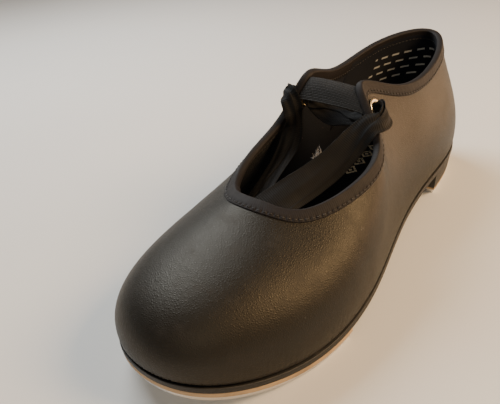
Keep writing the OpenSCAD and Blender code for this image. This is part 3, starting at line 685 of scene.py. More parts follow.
leather = upper_leather()
lining = lining_cloth()
grip = grip_cloth()
tape = binding_tape()
thread = sewing_thread()
webbing = elastic_webbing()
ribbon_cloth = ribbon_grosgrain()
brass = eyelet_brass()
sock = sock_cloth()
rubber = sole_rubber()
tan_board = fibreboard("tan_fibreboard", tone(0.33, 0.21, 0.115), tone(0.62, 0.45, 0.28), 0.78)
grey_board = fibreboard("insole_fibreboard", tone(0.26, 0.2, 0.14), tone(0.45, 0.37, 0.28), 0.85)
stiff_parts = woven("stiffener_cloth", 0.0012, tone(0.2, 0.19, 0.17), tone(0.42, 0.4, 0.36), 0.85)
stiff_cloth = stiff_parts[0].finish(*stiff_parts[1:])
tap_metal = tap_aluminium()
screw_steel = plated_steel("zinc_plated_steel", tone(0.66, 0.67, 0.69), tone(0.44, 0.45, 0.48))
nail_steel = plated_steel("nail_steel", tone(0.35, 0.34, 0.33), tone(0.2, 0.19, 0.18))
filler_cork = cork_filler()
foam = cushion_foam()

stays = {"insole_board": grey_board, "bottom_filler": filler_cork, "insole_foam": foam,
         "shank": nail_steel, "heel_nails": nail_steel}
for part in ("toe_screw_front", "toe_screw_outer", "toe_screw_inner",
             "heel_screw_back", "heel_screw_outer", "heel_screw_inner"):
    stays[part] = screw_steel
for node, finish in stays.items():
    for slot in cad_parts[node].material_slots:
        slot.material = finish


# ---- The camera

azimuth, tilt, roll = np.radians([39.42, 32.42, -4.75])
target = np.array([-26.06, -9.22, 15.16])
camera_distance = 290.1

right = np.array([np.cos(azimuth), np.sin(azimuth), 0])
ahead = np.array([-np.sin(azimuth) * np.cos(tilt), np.cos(azimuth) * np.cos(tilt), -np.sin(tilt)])
upward = np.cross(right, ahead)
side_axis = right * np.cos(roll) + upward * np.sin(roll)
top_axis = upward * np.cos(roll) - right * np.sin(roll)
camera_data = bpy.data.cameras.new("camera")
camera_data.sensor_width = 36.0
camera_data.lens = 39.42
camera_data.shift_x = -0.0552
camera_data.shift_y = 0.0138
camera_data.clip_start = 0.01
camera = bpy.data.objects.new("camera", camera_data)
bpy.context.scene.collection.objects.link(camera)
matrix = np.eye(4)
matrix[:3, 0] = side_axis
matrix[:3, 1] = top_axis
matrix[:3, 2] = -ahead
matrix[:3, 3] = (target - ahead * camera_distance) * MM
camera.matrix_world = Matrix(matrix.tolist())
bpy.context.scene.camera = camera


# ---- The sewn upper

stations = float(len(rows))
wall_h = 55.0               # rough length of the wall from feather edge to topline
upper_in = lining_t + 0.05
stiffener_t = 0.7
stay_t = 0.5
skived = 0.15
levels = [0, 0.06, 0.16, 0.28, 0.4, 0.52, 0.63, 0.74, 0.84, 0.93, 1]
# Each stiffener: its first and last u, its lower and upper level, and its thickness.
stiffeners = {"toe_puff": (-2.4, 2.4, levels[1], levels[6], stiffener_t),
              "heel_counter": (6.6, 10.4, levels[1], levels[7], stiffener_t),
              "lateral_tab_stay": (4.4, 5.6, levels[7], 1.0, stay_t),
              "medial_tab_stay": (11.4, 12.6, levels[7], 1.0, stay_t)}


def stiffener_depth(u, v, part):
    """A stiffener's thickness: full inside, and pared smoothly to its edge over 4 mm."""
    u0, u1, low, high, full = part
    bound = down_from_top(u, binding_w)
    pare_v = 4.0 / wall_h
    edge = np.minimum((u - u0) / 0.1, (u1 - u) / 0.1)
    edge = np.minimum(edge, np.minimum((v - low * bound) / pare_v, (high * bound - v) / pare_v))
    return np.where(edge >= 0, skived + (full - skived) * smooth_step(edge), 0)


def all_stiffeners(u, v):
    """The room that the stiffeners take under the upper."""
    around = [(u + stations / 2) % stations - stations / 2, u % stations, u % stations, u % stations]
    return np.max([stiffener_depth(w, v, part) for w, part in zip(around, stiffeners.values())], axis=0)


def waves(a, b, seed, count=5, low=1.0, high=4.0):
    """Soft unevenness: a sum of sine waves of two parameters, with seeded directions and phases."""
    rng = np.random.default_rng(seed)
    total = 0
    for i in range(count):
        angle, phase = rng.uniform(0, 2 * np.pi, 2)
        rate = rng.uniform(low, high)
        total = total + np.sin(rate * (a * np.cos(angle) + b * np.sin(angle)) + phase) / count
    return total


def relief(u, v):
    """Depth of the upper's puckers over the feather edge, creases at the ball and soft unevenness."""
    p = wall(u, v)
    height = v * wall_h
    turn = 2 * np.pi * u / stations
    strength = 0.09 + 0.13 * (0.5 + 0.5 * np.sin(3 * turn + 0.6))
    strength = strength + 0.16 * np.exp(-((u % stations - 3.1) / 1.1) ** 2)
    fold = np.sin(turn * 118 + 3.0 * np.sin(turn * 7) + 1.6 * np.sin(turn * 17 + 1))
    reach = 4.5 + 2.5 * np.sin(turn * 23 + 0.5)
    puckers = strength * (np.abs(fold) ** 0.7 - 0.5) * np.exp(-(height / reach) ** 2)
    uneven = 0.35 * waves(p[..., 0], p[..., 1], 3, 7, 0.06, 0.16)
    uneven = uneven * smooth_step(v * 8) * smooth_step((1 - v) * 6)
    bend = np.exp(-((p[..., 1] + 32) / 26) ** 2) * np.exp(-((v - 0.45) / 0.28) ** 2)
    crease = 0.28 * bend * waves(p[..., 1] + 0.3 * p[..., 2], p[..., 2], 8, 4, 0.35, 0.6)
    return puckers + uneven + crease


columns = 640
u_line = np.linspace(0, stations, columns + 1)
corner_turn = np.radians(np.linspace(0, 83, 7))[:, None]
wall_v = np.linspace(0, 1, 66)[:, None]
margin = np.linspace(-margin_w, 0, 6)[:-1, None]
grid_u = u_line[None, :]

outer_wall = skin(grid_u, wall_v, shell_t + relief(grid_u, wall_v))
outer_foot = np.vstack([foot_point(grid_u, margin, shell_t),
                        foot_point(grid_u, shell_t * np.sin(corner_turn), shell_t * np.cos(corner_turn))])
inner_v = np.linspace(1, 0, 34)[:, None]
inner_wall = skin(grid_u, inner_v, upper_in + all_stiffeners(grid_u, inner_v))
inner_wall[-1] = foot_point(u_line, upper_in, upper_in)
inner_foot = foot_point(grid_u, margin[::-1], upper_in)
ring = np.vstack([outer_foot, outer_wall, inner_wall, inner_foot, outer_foot[:1]])
upper = mesh_piece("sewn_upper", [grid_patch(ring)], leather, ["upper"])
cut_eyelet_holes(upper)

line_u = np.linspace(0, stations, 401)[None, :]
rise_v = np.linspace(0, 1, 48)[:, None]
slack_in = 0.12 * waves(line_u * 9, rise_v * 14, 5, 6, 0.6, 1.4) * smooth_step((1 - rise_v) * 8) - 0.05
inside = skin(line_u, rise_v, slack_in)
inside[0] = foot_point(line_u[0], 0, 0)
outside = skin(line_u, rise_v[::-4], lining_t)
outside = np.vstack([outside, foot_point(line_u, lining_t, lining_t)])
tuck = np.linspace(-margin_w, 0, 4)[:-1, None]
ring = np.vstack([foot_point(line_u, tuck, 0), inside, outside, foot_point(line_u, tuck[::-1], lining_t),
                  foot_point(line_u, tuck[:1], 0)])
inner_lining = mesh_piece("upper_lining_cloth", [grid_patch(ring)], lining, ["upper_lining"])
cut_eyelet_holes(inner_lining)

for name, part in stiffeners.items():
    u = np.linspace(part[0], part[1], 72)[None, :]
    share = np.linspace(part[2], part[3], 30)[:, None]
    v = share * down_from_top(u, binding_w)
    depth = np.maximum(stiffener_depth(u, v, part), skived)
    top = skin(u, v, lining_t + depth + 0.02)
    under_side = skin(u, v, lining_t + 0.025 + 0 * depth)
    piece = mesh_piece(name + "_piece", two_faced(top, under_side),
                       tan_board if name == "heel_counter" else stiff_cloth, [name])
    if "tab" in name:
        cut_eyelet_holes(piece)

# The heel grip: its front edges slope, and its thickness is pared at every edge.
across = np.linspace(0, 1, 150)[None, :]
upward_v = np.linspace(0.27, 0.985, 60)[:, None]
share = (upward_v - upward_v[0]) / (upward_v[-1] - upward_v[0])
u = (5.75 + 0.55 * share) * (1 - across) + (11.3 - 0.75 * share) * across
edge = np.minimum(np.minimum(across, 1 - across) * 170, np.minimum(share, 1 - share) * 45)
depth = 0.05 + 0.2 + 0.42 * smooth_step(edge) + 0.04 * waves(across * 60, share * 20, 12, 5, 0.5, 1.3)
face = skin(u, upward_v, -depth)
rear = skin(u, upward_v, -0.03 - 0 * depth)
mesh_piece("heel_grip", two_faced(face, rear), grip, ["heel_grip_lining"])


# ---- Binding and its stitches

def topline(u):
    """The topline's point, its direction out of the shell's edge, and its normal."""
    up = unit(wall(u, 1) - wall(u, 0.98))
    return wall(u, 1), up, normal(u, 1)


def even(u_dense, points, pitch):
    """Places along a closed line at one pitch: length added up, then read back evenly."""
    steps = np.linalg.norm(np.diff(points, axis=0), axis=1)
    total = np.concatenate([[0], np.cumsum(steps)])
    count = int(round(total[-1] / pitch))
    return np.interp(np.arange(count) * total[-1] / count, total, u_dense), total[-1] / count


stitch_pitch = 2.5
stitch_in = 1.2             # stitches' distance from the binding's edge
dense_u = np.linspace(0, stations, 6001)


stitch_line = skin(dense_u, down_from_top(dense_u, binding_w - stitch_in), shell_t)
stitch_u, stitch_pitch = even(dense_u, stitch_line, stitch_pitch)
stitch_run = np.concatenate([[0], np.cumsum(np.linalg.norm(np.diff(stitch_line, axis=0), axis=1))])
joint_u = 15.17             # where the binding's ends overlap
joint_slant = 0.1

# Section of the folded tape: depth below the topline on each face, and how far round the fold a point lies.
turn = np.linspace(0, np.pi, 15)
outer_depth = np.concatenate([[binding_w], binding_w - np.array([0.25, 0.7, 1.2, 1.7, 2.4, 3.2, 4.0, 4.7])])
outer_rise = np.array([0.12, 0.42, 0.55, 0.5, 0.55, 0.62, 0.66, 0.64, 0.6])
bind_u = np.linspace(0, stations, 1601)
run = np.interp(bind_u, dense_u, stitch_run)
dent = np.exp(-(((run / stitch_pitch + 0.5) % 1 - 0.5) * stitch_pitch / 0.34) ** 2)
pull = 0.5 - 0.5 * np.cos(2 * np.pi * run / stitch_pitch)
top, up, out = topline(bind_u)


def tape_overlap(slant):
    """Height that the tape's upper end adds where it lies over the lower one."""
    start = smooth_step((bind_u - joint_u - slant) / 0.012)
    return 0.42 * start * smooth_step((joint_u + 0.42 - bind_u) / 0.25)


def near_seam(depth):
    """1 on the line of stitches, falling away on both sides."""
    return np.exp(-((depth - (binding_w - stitch_in)) / 0.45) ** 2)


def band(depth, height):
    """A line of the section on one face."""
    return skin(bind_u, down_from_top(bind_u, depth), height)


flat_line = 0 * bind_u
section = []
for depth, lift in zip(outer_depth, outer_rise):
    ripple = 0.07 * waves(run, depth * 3, 21, 6, 0.5, 2.2) * smooth_step(lift * 2)
    height = lift - 0.3 * dent * near_seam(depth) - 0.06 * (1 - pull) * np.exp(-((depth - 4.8) / 0.8) ** 2)
    height = height + tape_overlap(joint_slant * depth / binding_w) + ripple
    section.append(band(depth, shell_t + height))
overlap = tape_overlap(0)
for t in turn:
    ripple = 0.05 * waves(run, np.cos(t) * 2, 22, 6, 0.5, 2.2)
    out_by = shell_t / 2 + (shell_t / 2 + binding_t + overlap + ripple) * np.cos(t)
    up_by = 0.12 + (1.0 + overlap + ripple) * np.sin(t) ** 0.8
    section.append(top + out_by[:, None] * out + up_by[:, None] * up)
for depth, lift in zip(outer_depth[::-1], outer_rise[::-1]):
    section.append(band(depth, -(lift - 0.25 * dent * near_seam(depth))))
section += [band(binding_w, flat_line - 0.04), band(0.4, flat_line - 0.04),
            top - 0.02 * out + 0.06 * up, top + (shell_t + 0.02) * out + 0.06 * up,
            band(0.4, flat_line + shell_t + 0.04), band(binding_w, flat_line + shell_t + 0.04), section[0]]
mesh_piece("folded_binding", [grid_patch(np.array(section))], tape, ["topline_binding"])


def stitch_places(u, depth, offset, sign):
    """Middle and axes of each stitch: along the seam, out of the face, and across."""
    v = down_from_top(u, depth)
    middle = skin(u, v, offset)
    ahead_point = skin(u + 0.004, down_from_top(u + 0.004, depth), offset)
    lead = unit(ahead_point - middle)
    face = normal(u, v) * sign
    return middle, np.stack([lead, face, np.cross(lead, face)], 1)


# One stitch: a round thread whose radius falls to nothing at both ends, which dip into the holes.
s = np.linspace(-1, 1, 9)[:, None]
a = np.linspace(0, 2 * np.pi, 7)[None, :]
radius = 0.2 * np.sqrt(1 - s ** 4)
template = np.stack([s * 0.98 + 0 * a, radius * np.cos(a) - 0.28 * s ** 4, radius * np.sin(a)], -1)
verts, quads, uv = grid_patch(template)
between = stitch_u + 0.5 * (np.roll(stitch_u, -1) - stitch_u) * (np.roll(stitch_u, -1) > stitch_u)
patches = [many_patch(verts, quads, stitch_places(between, binding_w - stitch_in, shell_t + 0.6, 1)),
           many_patch(verts, quads, stitch_places(between, binding_w - stitch_in, -0.6, -1))]
mesh_piece("binding_stitches", patches, thread)


# ---- Instep elastic

elastic_u = ((4.38, 4.98), (12.6, 12.02))
elastic_in = -(binding_t + 0.05)


def elastic_arch(t, s):
    """The elastic's inner line: a Bezier arch from one topline to the other, at t across its width."""
    ends = [u0 + t * (u1 - u0) for u0, u1 in elastic_u]
    tops = [skin(u, 1, elastic_in) for u in ends]
    lows = [skin(u, down_from_top(u, elastic_sewn), elastic_in) for u in ends]
    rises = [unit(top - low) for top, low in zip(tops, lows)]
    reach = elastic_slack * np.linalg.norm(tops[1] - tops[0], axis=-1, keepdims=True)
    s = s[..., None]
    w = 1 - s
    return (w ** 3 * tops[0] + 3 * s * w * w * (tops[0] + reach * rises[0])
            + 3 * s * s * w * (tops[1] + reach * rises[1]) + s ** 3 * tops[1])


rib_count = 19
t_line = np.linspace(0, 1, rib_count * 6 + 1)
s_line = np.linspace(0, 1, 90)
t, s = np.meshgrid(t_line, s_line, indexing="ij")
arch = elastic_arch(t, s)
slope_t = elastic_arch(np.clip(t + 0.02, 0, 1), s) - elastic_arch(np.clip(t - 0.02, 0, 1), s)
slope_s = elastic_arch(t, np.clip(s + 0.01, 0, 1)) - elastic_arch(t, np.clip(s - 0.01, 0, 1))
arch_out = unit(np.cross(slope_t, slope_s))
sewn = []
for side in (0, 1):
    u0, u1 = elastic_u[side]
    u = (u0 + t_line * (u1 - u0))[:, None]
    depth = np.linspace(elastic_sewn, 0.6, 7)[None, :]
    v = down_from_top(u, depth)
    block = skin(u, v, elastic_in + 0 * depth), normal(u, v)
    sewn.append([part[:, ::-1] if side else part for part in block])
base = np.concatenate([sewn[0][0], arch, sewn[1][0]], axis=1)
away = np.concatenate([sewn[0][1], arch_out, sewn[1][1]], axis=1)
free = np.concatenate([np.zeros(7), np.sin(np.pi * s_line), np.zeros(7)])[None, :]
rib = np.abs(np.sin(np.pi * rib_count * t_line))[:, None] ** 0.8
edge = smooth_step(np.minimum(t_line, 1 - t_line) * 60)[:, None]
knit = 0.03 * np.sin(np.arange(base.shape[1]) * 2.2)[None, :]
bow = 0.25 * free * waves(t_line[:, None] * 6, np.arange(base.shape[1])[None, :] * 0.08, 31, 4, 0.5, 1.5)
inner_off = -elastic_t + 0.2 * (1 - edge) + 0.12 * (1 - rib) + bow
outer_off = -0.02 - 0.2 * (1 - edge) - 0.16 * (1 - rib) + knit * edge + bow
outer_off = np.minimum(outer_off, np.where(free > 0, 9.0, -0.02))
top_face = base + outer_off[..., None] * away
low_face = base + inner_off[..., None] * away
loop = np.concatenate([top_face, low_face[::-1], top_face[:1]])
ends = [grid_patch(np.stack([top_face[:, k], low_face[:, k]])) for k in (0, -1)]
elastic_uv = lengths(loop)[..., ::-1]
elastic = mesh_piece("instep_elastic_band", [grid_patch(loop, elastic_uv)] + ends, webbing,
                     ["instep_elastic"])


# ---- Ribbon tie

def through(uv, d):
    """Place on an eyelet's axis, at a distance d outside the last's surface."""
    return list(wall(uv[0], uv[1]) + d * normal(uv[0], uv[1]))


ribbon_w = 22.0
bundle_w = 1.5 * eyelet_r
# Each row: the middle's place, the width that the ribbon is gathered to, and the direction it lies in.
route = [
    [[-6, -72, 24], 18, [1, 0, 0]],
    [[-9, -60, 29], 17, [1, 0, 0.1]],
    [[-12, -49, 34], 15, [1, 0.1, 0.2]],
    [[-15, -38, 38.5], 12.5, [0.95, 0.2, 0.3]],
    [[-17.5, -28, 41.5], 10.5, [0.9, 0.3, 0.35]],
    [[-19.2, -18, 44], 9.5, [0.85, 0.4, 0.35]],
    [[-20.6, -8, 47.5], 9, [0.75, 0.6, 0.3]],
    [[-21.4, -0.5, 52.5], 9, [0.6, 0.75, 0.25]],
    [[-21.6, 3.4, 59], 9, [0.45, 0.85, 0.35]],
    [[-20.6, 2.6, 66.8], 9, [0.35, 0.65, 0.65]],
    [[-23.4, 3.2, 74.2], 8.5, [0.29, 0.5, 0.82]],
    [[-28.2, 6.8, 74.2], 8, [0.28, 0.3, 0.9]],
    [[-29.8, 11.4, 72.2], 7, [0.28, 0.1, 0.95]],
    [through(medial_eyelet_uv, 5.5), bundle_w, [0.28, 0, 0.96]],
    [through(medial_eyelet_uv, 2.5), bundle_w, [0.28, 0, 0.96]],
    [through(medial_eyelet_uv, 0), bundle_w, [0.28, 0, 0.96]],
    [through(medial_eyelet_uv, -3.5), bundle_w, [0.2, 0.4, 0.9]],
    [[-15, 15.4, 66], 8, [0.1, 0.9, 0.4]],
    [[-9, 14.6, 64.5], 11, [0, 1, 0.2]],
    [[-3, 13.6, 63.5], 12, [0, 1, 0.2]],
    [[ 3, 13.2, 63.8], 10, [0, 1, 0.2]],
    [through(lateral_eyelet_uv, -7), 7, [-0.2, 0.8, 0.5]],
    [through(lateral_eyelet_uv, -3.5), bundle_w, [-0.4, 0.4, 0.8]],
    [through(lateral_eyelet_uv, 0), bundle_w, [-0.49, 0, 0.86]],
    [through(lateral_eyelet_uv, 3.5), bundle_w, [-0.49, 0, 0.86]],
    [[21.6, 14, 72.7], 6.5, [-0.5, 0.05, 0.85]],
    [[24.6, 11.2, 71.6], 7.5, [-0.52, 0.15, 0.83]],
    [[26, 7.6, 70.2], 7.5, [-0.56, 0.28, 0.77]],
    [[25.2, 4.1, 70], 8.5, [-0.6, 0.4, 0.69]],
    [[22, 0.6, 69], 10, [-0.62, 0.42, 0.66]],
    [[18.4, -3.8, 64.2], 11, [-0.64, 0.2, 0.73]],
    [[15.2, -9.8, 58.8], 12, [-0.67, -0.1, 0.72]],
    [[11.6, -17, 53.8], 12.5, [-0.7, -0.2, 0.66]],
    [[7.8, -25, 50.2], 13, [-0.74, -0.2, 0.62]],
    [[3.8, -33.6, 47.3], 13.5, [-0.8, -0.15, 0.55]],
    [[0, -42.6, 44.6], 14.5, [-0.88, -0.05, 0.42]],
    [[-3, -51, 41.2], 16, [-0.96, 0, 0.28]],
    [[-5, -60, 36.5], 18, [-1, 0, 0.1]],
    [[-5, -70, 31], 18, [-1, 0, 0]]]
knots = np.array([place + [wide] + lie for place, wide, lie in route], float)


def smooth_route(s):
    """Catmull-Rom curve through the route's rows."""
    last = len(knots) - 1
    i = np.minimum(last - 1, np.floor(s).astype(int))
    t = (s - i)[:, None]
    a, b, c, d = (knots[np.clip(i + k, 0, last)] for k in (-1, 0, 1, 2))
    return 0.5 * (2 * b + (c - a) * t + (2 * a - 5 * b + 4 * c - d) * t * t
                  + (3 * b - a - 3 * c + d) * t ** 3)


rib_pitch = 0.9
coarse = np.linspace(0, len(knots) - 1, 8000)
steps = np.linalg.norm(np.diff(smooth_route(coarse)[:, :3], axis=0), axis=1)
path_run = np.concatenate([[0], np.cumsum(steps)])
ribbon_len = path_run[-1]
ribbon_rows = 2 * int(ribbon_len / rib_pitch) + 1
station_s = np.interp(np.linspace(0, ribbon_len, ribbon_rows), path_run, coarse)
spots = smooth_route(station_s)
middle = spots[:, :3]
tangent = unit(np.gradient(middle, axis=0))
lie = spots[:, 4:7]
side = unit(lie - (lie * tangent).sum(1, keepdims=True) * tangent)
face_dir = np.cross(tangent, side)
path_at = np.linspace(0, ribbon_len, ribbon_rows)[:, None]
q = np.linspace(0, 1, 57)[None, :]
room = np.clip(spots[:, 3:4] * 1.12, bundle_w, 20.5)
layers = ribbon_w / room
# Folded flat on itself: its threads run to and fro across the room that it has, once for each layer, round
# soft folds, while they climb by one layer's spacing. Slow waves keep the ribbon from lying dead flat.
fold_round = 0.97
phase = np.pi * (layers * (q - 0.5))
flat_x = 0.5 * room * np.arcsin(fold_round * np.sin(phase)) / np.arcsin(fold_round)
layer_gap = 0.62
lift = layer_gap * layers * (q - 0.5)
slack = smooth_step((spots[:, 3:4] - 8) / 8)
lift = lift + slack * (0.55 * np.sin(flat_x * 0.3 + path_at * 0.045 + 1.0)
                       + 0.3 * np.sin(flat_x * 0.55 - path_at * 0.09))
lift = lift + (1 - slack) * 0.25 * np.sin(flat_x * 1.5 + path_at * 0.1)
centre = middle[:, None] + flat_x[..., None] * side[:, None] + lift[..., None] * face_dir[:, None]
along_q = np.gradient(centre, axis=1)
along_s = np.gradient(centre, axis=0)
ribbon_out = unit(np.cross(along_s, along_q))
selvedge = smooth_step(1 - np.minimum(q, 1 - q) * 30)
rib = 0.05 * (1 - 2 * (np.arange(ribbon_rows) % 2))[:, None] * (1 - selvedge)
half = 0.16 + 0.06 * selvedge + rib
round_edge = np.sqrt(np.clip(1 - (1 - np.minimum(q, 1 - q) * 60).clip(0) ** 2, 0.02, 1))
upper_face = centre + (half * round_edge)[..., None] * ribbon_out
lower_face = centre - (half * round_edge)[..., None] * ribbon_out
loop = np.concatenate([upper_face, lower_face[:, ::-1], upper_face[:, :1]], axis=1)
across_uv = np.concatenate([q * ribbon_w, q[:, ::-1] * ribbon_w, q[:, :1] * ribbon_w], axis=1)
loop_uv = np.stack([np.broadcast_to(part, loop.shape[:2]) for part in (across_uv, path_at)], -1) * MM
ends = [grid_patch(np.stack([upper_face[k], lower_face[k]])) for k in (0, -1)]
ribbon = mesh_piece("ribbon_tie_folded", [grid_patch(loop, loop_uv)] + ends, ribbon_cloth,
                    ["ribbon_tie"])


# ---- Loose fibres

def fibres(roots, leads, long, radius, seed):
    """Thin bent tubes: each leaves its root along its lead and curls by a seeded amount."""
    rng = np.random.default_rng(seed)
    count = len(roots)
    s = np.linspace(0, 1, 9)[None, :, None]
    curl = unit(rng.normal(size=(count, 3)))[:, None, :]
    lead = unit(leads)[:, None, :]
    reach = (long * rng.uniform(0.5, 1.0, count))[:, None, None]
    second = np.cross(curl, lead)
    path = roots[:, None, :] + reach * (s * lead + 0.45 * s ** 2 * curl + 0.12 * np.sin(5 * s) * second)
    ahead_dir = unit(np.gradient(path, axis=1))
    one = unit(np.cross(ahead_dir, curl + 0.01))
    two = np.cross(ahead_dir, one)
    a = np.linspace(0, 2 * np.pi, 6)[None, None, :, None]
    taper = np.sqrt(np.clip(1 - (2 * s - 1) ** 8, 0, 1))[..., None]
    tube = path[:, :, None] + radius * taper * (np.cos(a) * one[:, :, None] + np.sin(a) * two[:, :, None])
    return [grid_patch(one_tube) for one_tube in tube]


def thread_fibre():
    """Loose polyester fibres, pale where they have lost their dye."""
    f = Finish("thread_fibre", sheen_weight=0.3)
    p = f.place()
    colour = f.blend(f.noise(p, 900, 2), tone(0.1, 0.09, 0.085), tone(0.42, 0.38, 0.34))
    return f.finish(colour, 0.6 - f.noise(p, 2000, 2) * 0.1, f.noise(p, 5000, 2) * 0.00002)


rng = np.random.default_rng(44)
row_at = int(np.interp(32.1, station_s, np.arange(ribbon_rows)))
edge_q = int(np.argmax(centre[row_at, :, 2]))
edge_rows = row_at + rng.integers(-6, 7, 26)
roots = centre[edge_rows, edge_q]
out_of_fold = (centre[row_at, edge_q] - centre[row_at, 28]) * 0.03 + np.array([-0.3, 0.5, 0.3])
leads = out_of_fold + rng.normal(0, 0.4, (26, 3))
hairs = fibres(roots, leads, 3.4, 0.07, 9)
top_u = np.array([12.45, 12.5])
stray_leads = np.array([[0.1, 0.4, 1.0], [-0.5, 0.6, 0.8]])
hairs = hairs + fibres(skin(top_u, 1.0, 1.0) + [0, 0, 0.8], stray_leads, 6.0, 0.07, 5)
frays = mesh_piece("frayed_fibres", hairs, thread_fibre())


# ---- Eyelets

def lathe(profile, uv):
    """A closed profile of radii and distances from the wall, turned about an eyelet's axis."""
    place = frame_at(uv, 0)
    return turned(place[0], place[1:], profile[:, 0], profile[:, 1], 97)


flange_low = shell_t + eyelet_off
flange_t = 0.5
curl_low = -eyelet_off - flange_t
eyelet_profile = np.array([
    [3.5, curl_low], [3.56, curl_low - 0.25], [3.8, curl_low - 0.4], [4.25, curl_low - 0.36],
    [4.6, curl_low - 0.15], [4.6, curl_low - 0.03], [4.3, curl_low - 0.02], [4.0, curl_low],
    [4.0, 0.8], [4.0, flange_low - 0.05],
    [5.3, flange_low], [5.56, flange_low + 0.08], [5.6, flange_low + 0.2], [5.45, flange_low + 0.38],
    [5.1, flange_low + 0.53], [4.65, flange_low + 0.6], [4.2, flange_low + 0.56], [3.8, flange_low + 0.4],
    [3.57, flange_low + 0.12], [3.5, flange_low - 0.3], [3.5, 0.8], [3.5, curl_low]])
washer_profile = np.array([
    [4.06, -eyelet_off], [4.06, curl_low + 0.1], [4.15, curl_low + 0.01], [5.1, curl_low + 0.01],
    [5.28, curl_low + 0.12], [5.28, -eyelet_off - 0.12], [5.1, -eyelet_off], [4.06, -eyelet_off]])
for side_name, uv in (("lateral", lateral_eyelet_uv), ("medial", medial_eyelet_uv)):
    mesh_piece(side_name + "_eyelet_turned", [lathe(eyelet_profile, uv)], brass,
               [side_name + "_eyelet"])
    mesh_piece(side_name + "_washer_turned", [lathe(washer_profile, uv)], brass,
               [side_name + "_eyelet_washer"], sharp=50)


# ---- Sock lining, soles, heel and taps

outline_u = np.linspace(0, stations, 8001)
outline_rows = along(outline_u)
outline_out = outward(outline_u)[:, :2]


def side_lines(offset):
    """The outline moved out by an offset, as two lines from its toe end to its heel end."""
    line = outline_rows[:, :2] + offset * outline_out
    toe = int(np.argmin(line[:, 1]))
    line = np.roll(line[:-1], -toe, axis=0)
    heel = int(np.argmax(line[:, 1]))
    return line[:heel + 1], np.vstack([line[heel:], line[:1]])[::-1]


def plan_point(offset, p, q, start, end, hollow):
    """Plan of a slab: p runs from toe to heel and q across. start and end are cuts, None at the outline."""
    outer, inner = side_lines(offset)
    low = outer[0, 1] if start is None else start
    high = outer[-1, 1] if end is None else end
    if start is None and end is None:
        share = 0.5 - 0.5 * np.cos(np.pi * p)
    else:
        share = 1 - np.cos(np.pi * p / 2) if start is None else np.sin(np.pi * p / 2)
    y = low + (high - low) * share
    x_out = np.interp(y, outer[:, 1], outer[:, 0])
    x_in = np.interp(y, inner[:, 1], inner[:, 0])
    x = (x_out + x_in) / 2 + (x_out - x_in) / 2 * q
    return x, y + hollow(x, offset) * (share if start is None else 1 - share) ** 3


def slab_piece(name, finish, replaces, base, edge, width, start=None, end=None, hollow=None, crown=None,
               across=41, steps=120, sharp=None):
    """A slab with a shaped edge. edge lists pairs of inset and height from top face to lower face."""
    hollow = hollow or (lambda x, offset: 0 * x)
    crown = crown or (lambda x, y: 0 * x)
    p = np.linspace(0, 1, steps)[:, None]
    q = np.linspace(-1, 1, across)[None, :]
    edge = np.array(edge, float)
    dx = -edge[:, 0]

    def at(k, pp, qq):
        s = None if start is None else start - dx[k]
        e = None if end is None else end + dx[k]
        x, y = plan_point(width + dx[k], pp, qq, s, e, hollow)
        z = base(y) + edge[k, 1] + (crown(x, y) if k == 0 else 0)
        return np.stack(np.broadcast_arrays(x, y, z), -1)

    flip = np.array([[1.0]])
    top = at(0, p, q)
    low = at(len(edge) - 1, p, q[:, ::-1])
    right_side = [at(k, p, flip) for k in range(1, len(edge) - 1)]
    left_side = [at(k, p, -flip) for k in range(len(edge) - 2, 0, -1)]
    loop = np.concatenate([top] + right_side + [low] + left_side + [top[:, :1]], axis=1)
    patches = [grid_patch(loop)]
    for cut, value in ((start, 0.0), (end, 1.0)):
        if cut is not None:
            rows_at_cut = [at(k, np.array([[value]]), q) for k in range(len(edge))]
            patches.append(grid_patch(np.concatenate(rows_at_cut)))
    return mesh_piece(name, patches, finish, replaces, sharp=sharp)


def rounded(high, low, radius, taper=0.0):
    """Edge profile of a slab: a quarter circle at the top, a straight side, and a quarter circle below."""
    a = np.radians([0, 22.5, 45, 67.5, 90])
    top = np.stack([radius * (1 - np.sin(a)), high - radius * (1 - np.cos(a))], -1)
    foot = np.stack([taper + radius * (1 - np.cos(a)), low + radius * (1 - np.sin(a))], -1)
    return np.vstack([top, foot])


def no_rise(y):
    return 0 * y


screw_r = 1.7
head_r = 3.3
head_sunk = 0.35
screw_gap = 0.05
toe_screw_y = spring_start + 32
screws = [(0, -toe_screw_y, 6.9), (25, -spring_start + 6, 6.9), (-27, -spring_start + 6, 6.9),
          (heel_x, 112, 12), (heel_x + 19, 84, 12), (heel_x - 19, 84, 12)]
nails = [(heel_x, 108), (heel_x + 13, 94), (heel_x - 13, 94), (heel_x + 11, 76), (heel_x - 11, 76)]


def drill(obj, with_nails=False):
    """Bores the screws' countersunk holes and the nails' straight ones."""
    x_axis, y_axis, z_axis = np.eye(3)
    patches = []
    for x, y, long in screws:
        lean = math.asin((-spring_start - y) / spring_r) if y < -spring_start else 0.0
        axes = (np.array([0, math.sin(lean), math.cos(lean)]), x_axis,
                np.array([0, math.cos(lean), -math.sin(lean)]))
        centre = np.array([x, y, under(np.array(float(y))) - tap_stack if y < 0 else 0.0])
        r = np.array([0, head_r, head_r, screw_r, screw_r, 0]) + np.array([0, 1, 1, 1, 1, 0]) * screw_gap
        sunk = head_sunk + 0.2
        h = [-3, -3, sunk, sunk + head_r - screw_r, long - 1, head_sunk + long + 0.1]
        patches.append(turned(centre, axes, r, h, 41))
    for x, y in nails if with_nails else []:
        patches.append(turned(np.array([x, y, 0.0]), (z_axis, x_axis, y_axis), [0, 0.95, 0.95, 0],
                              [9.0, 9.0, 22.0, 22.0], 41))
    carve(obj, patches)
    obj.data.set_sharp_from_angle(angle=math.radians(35))


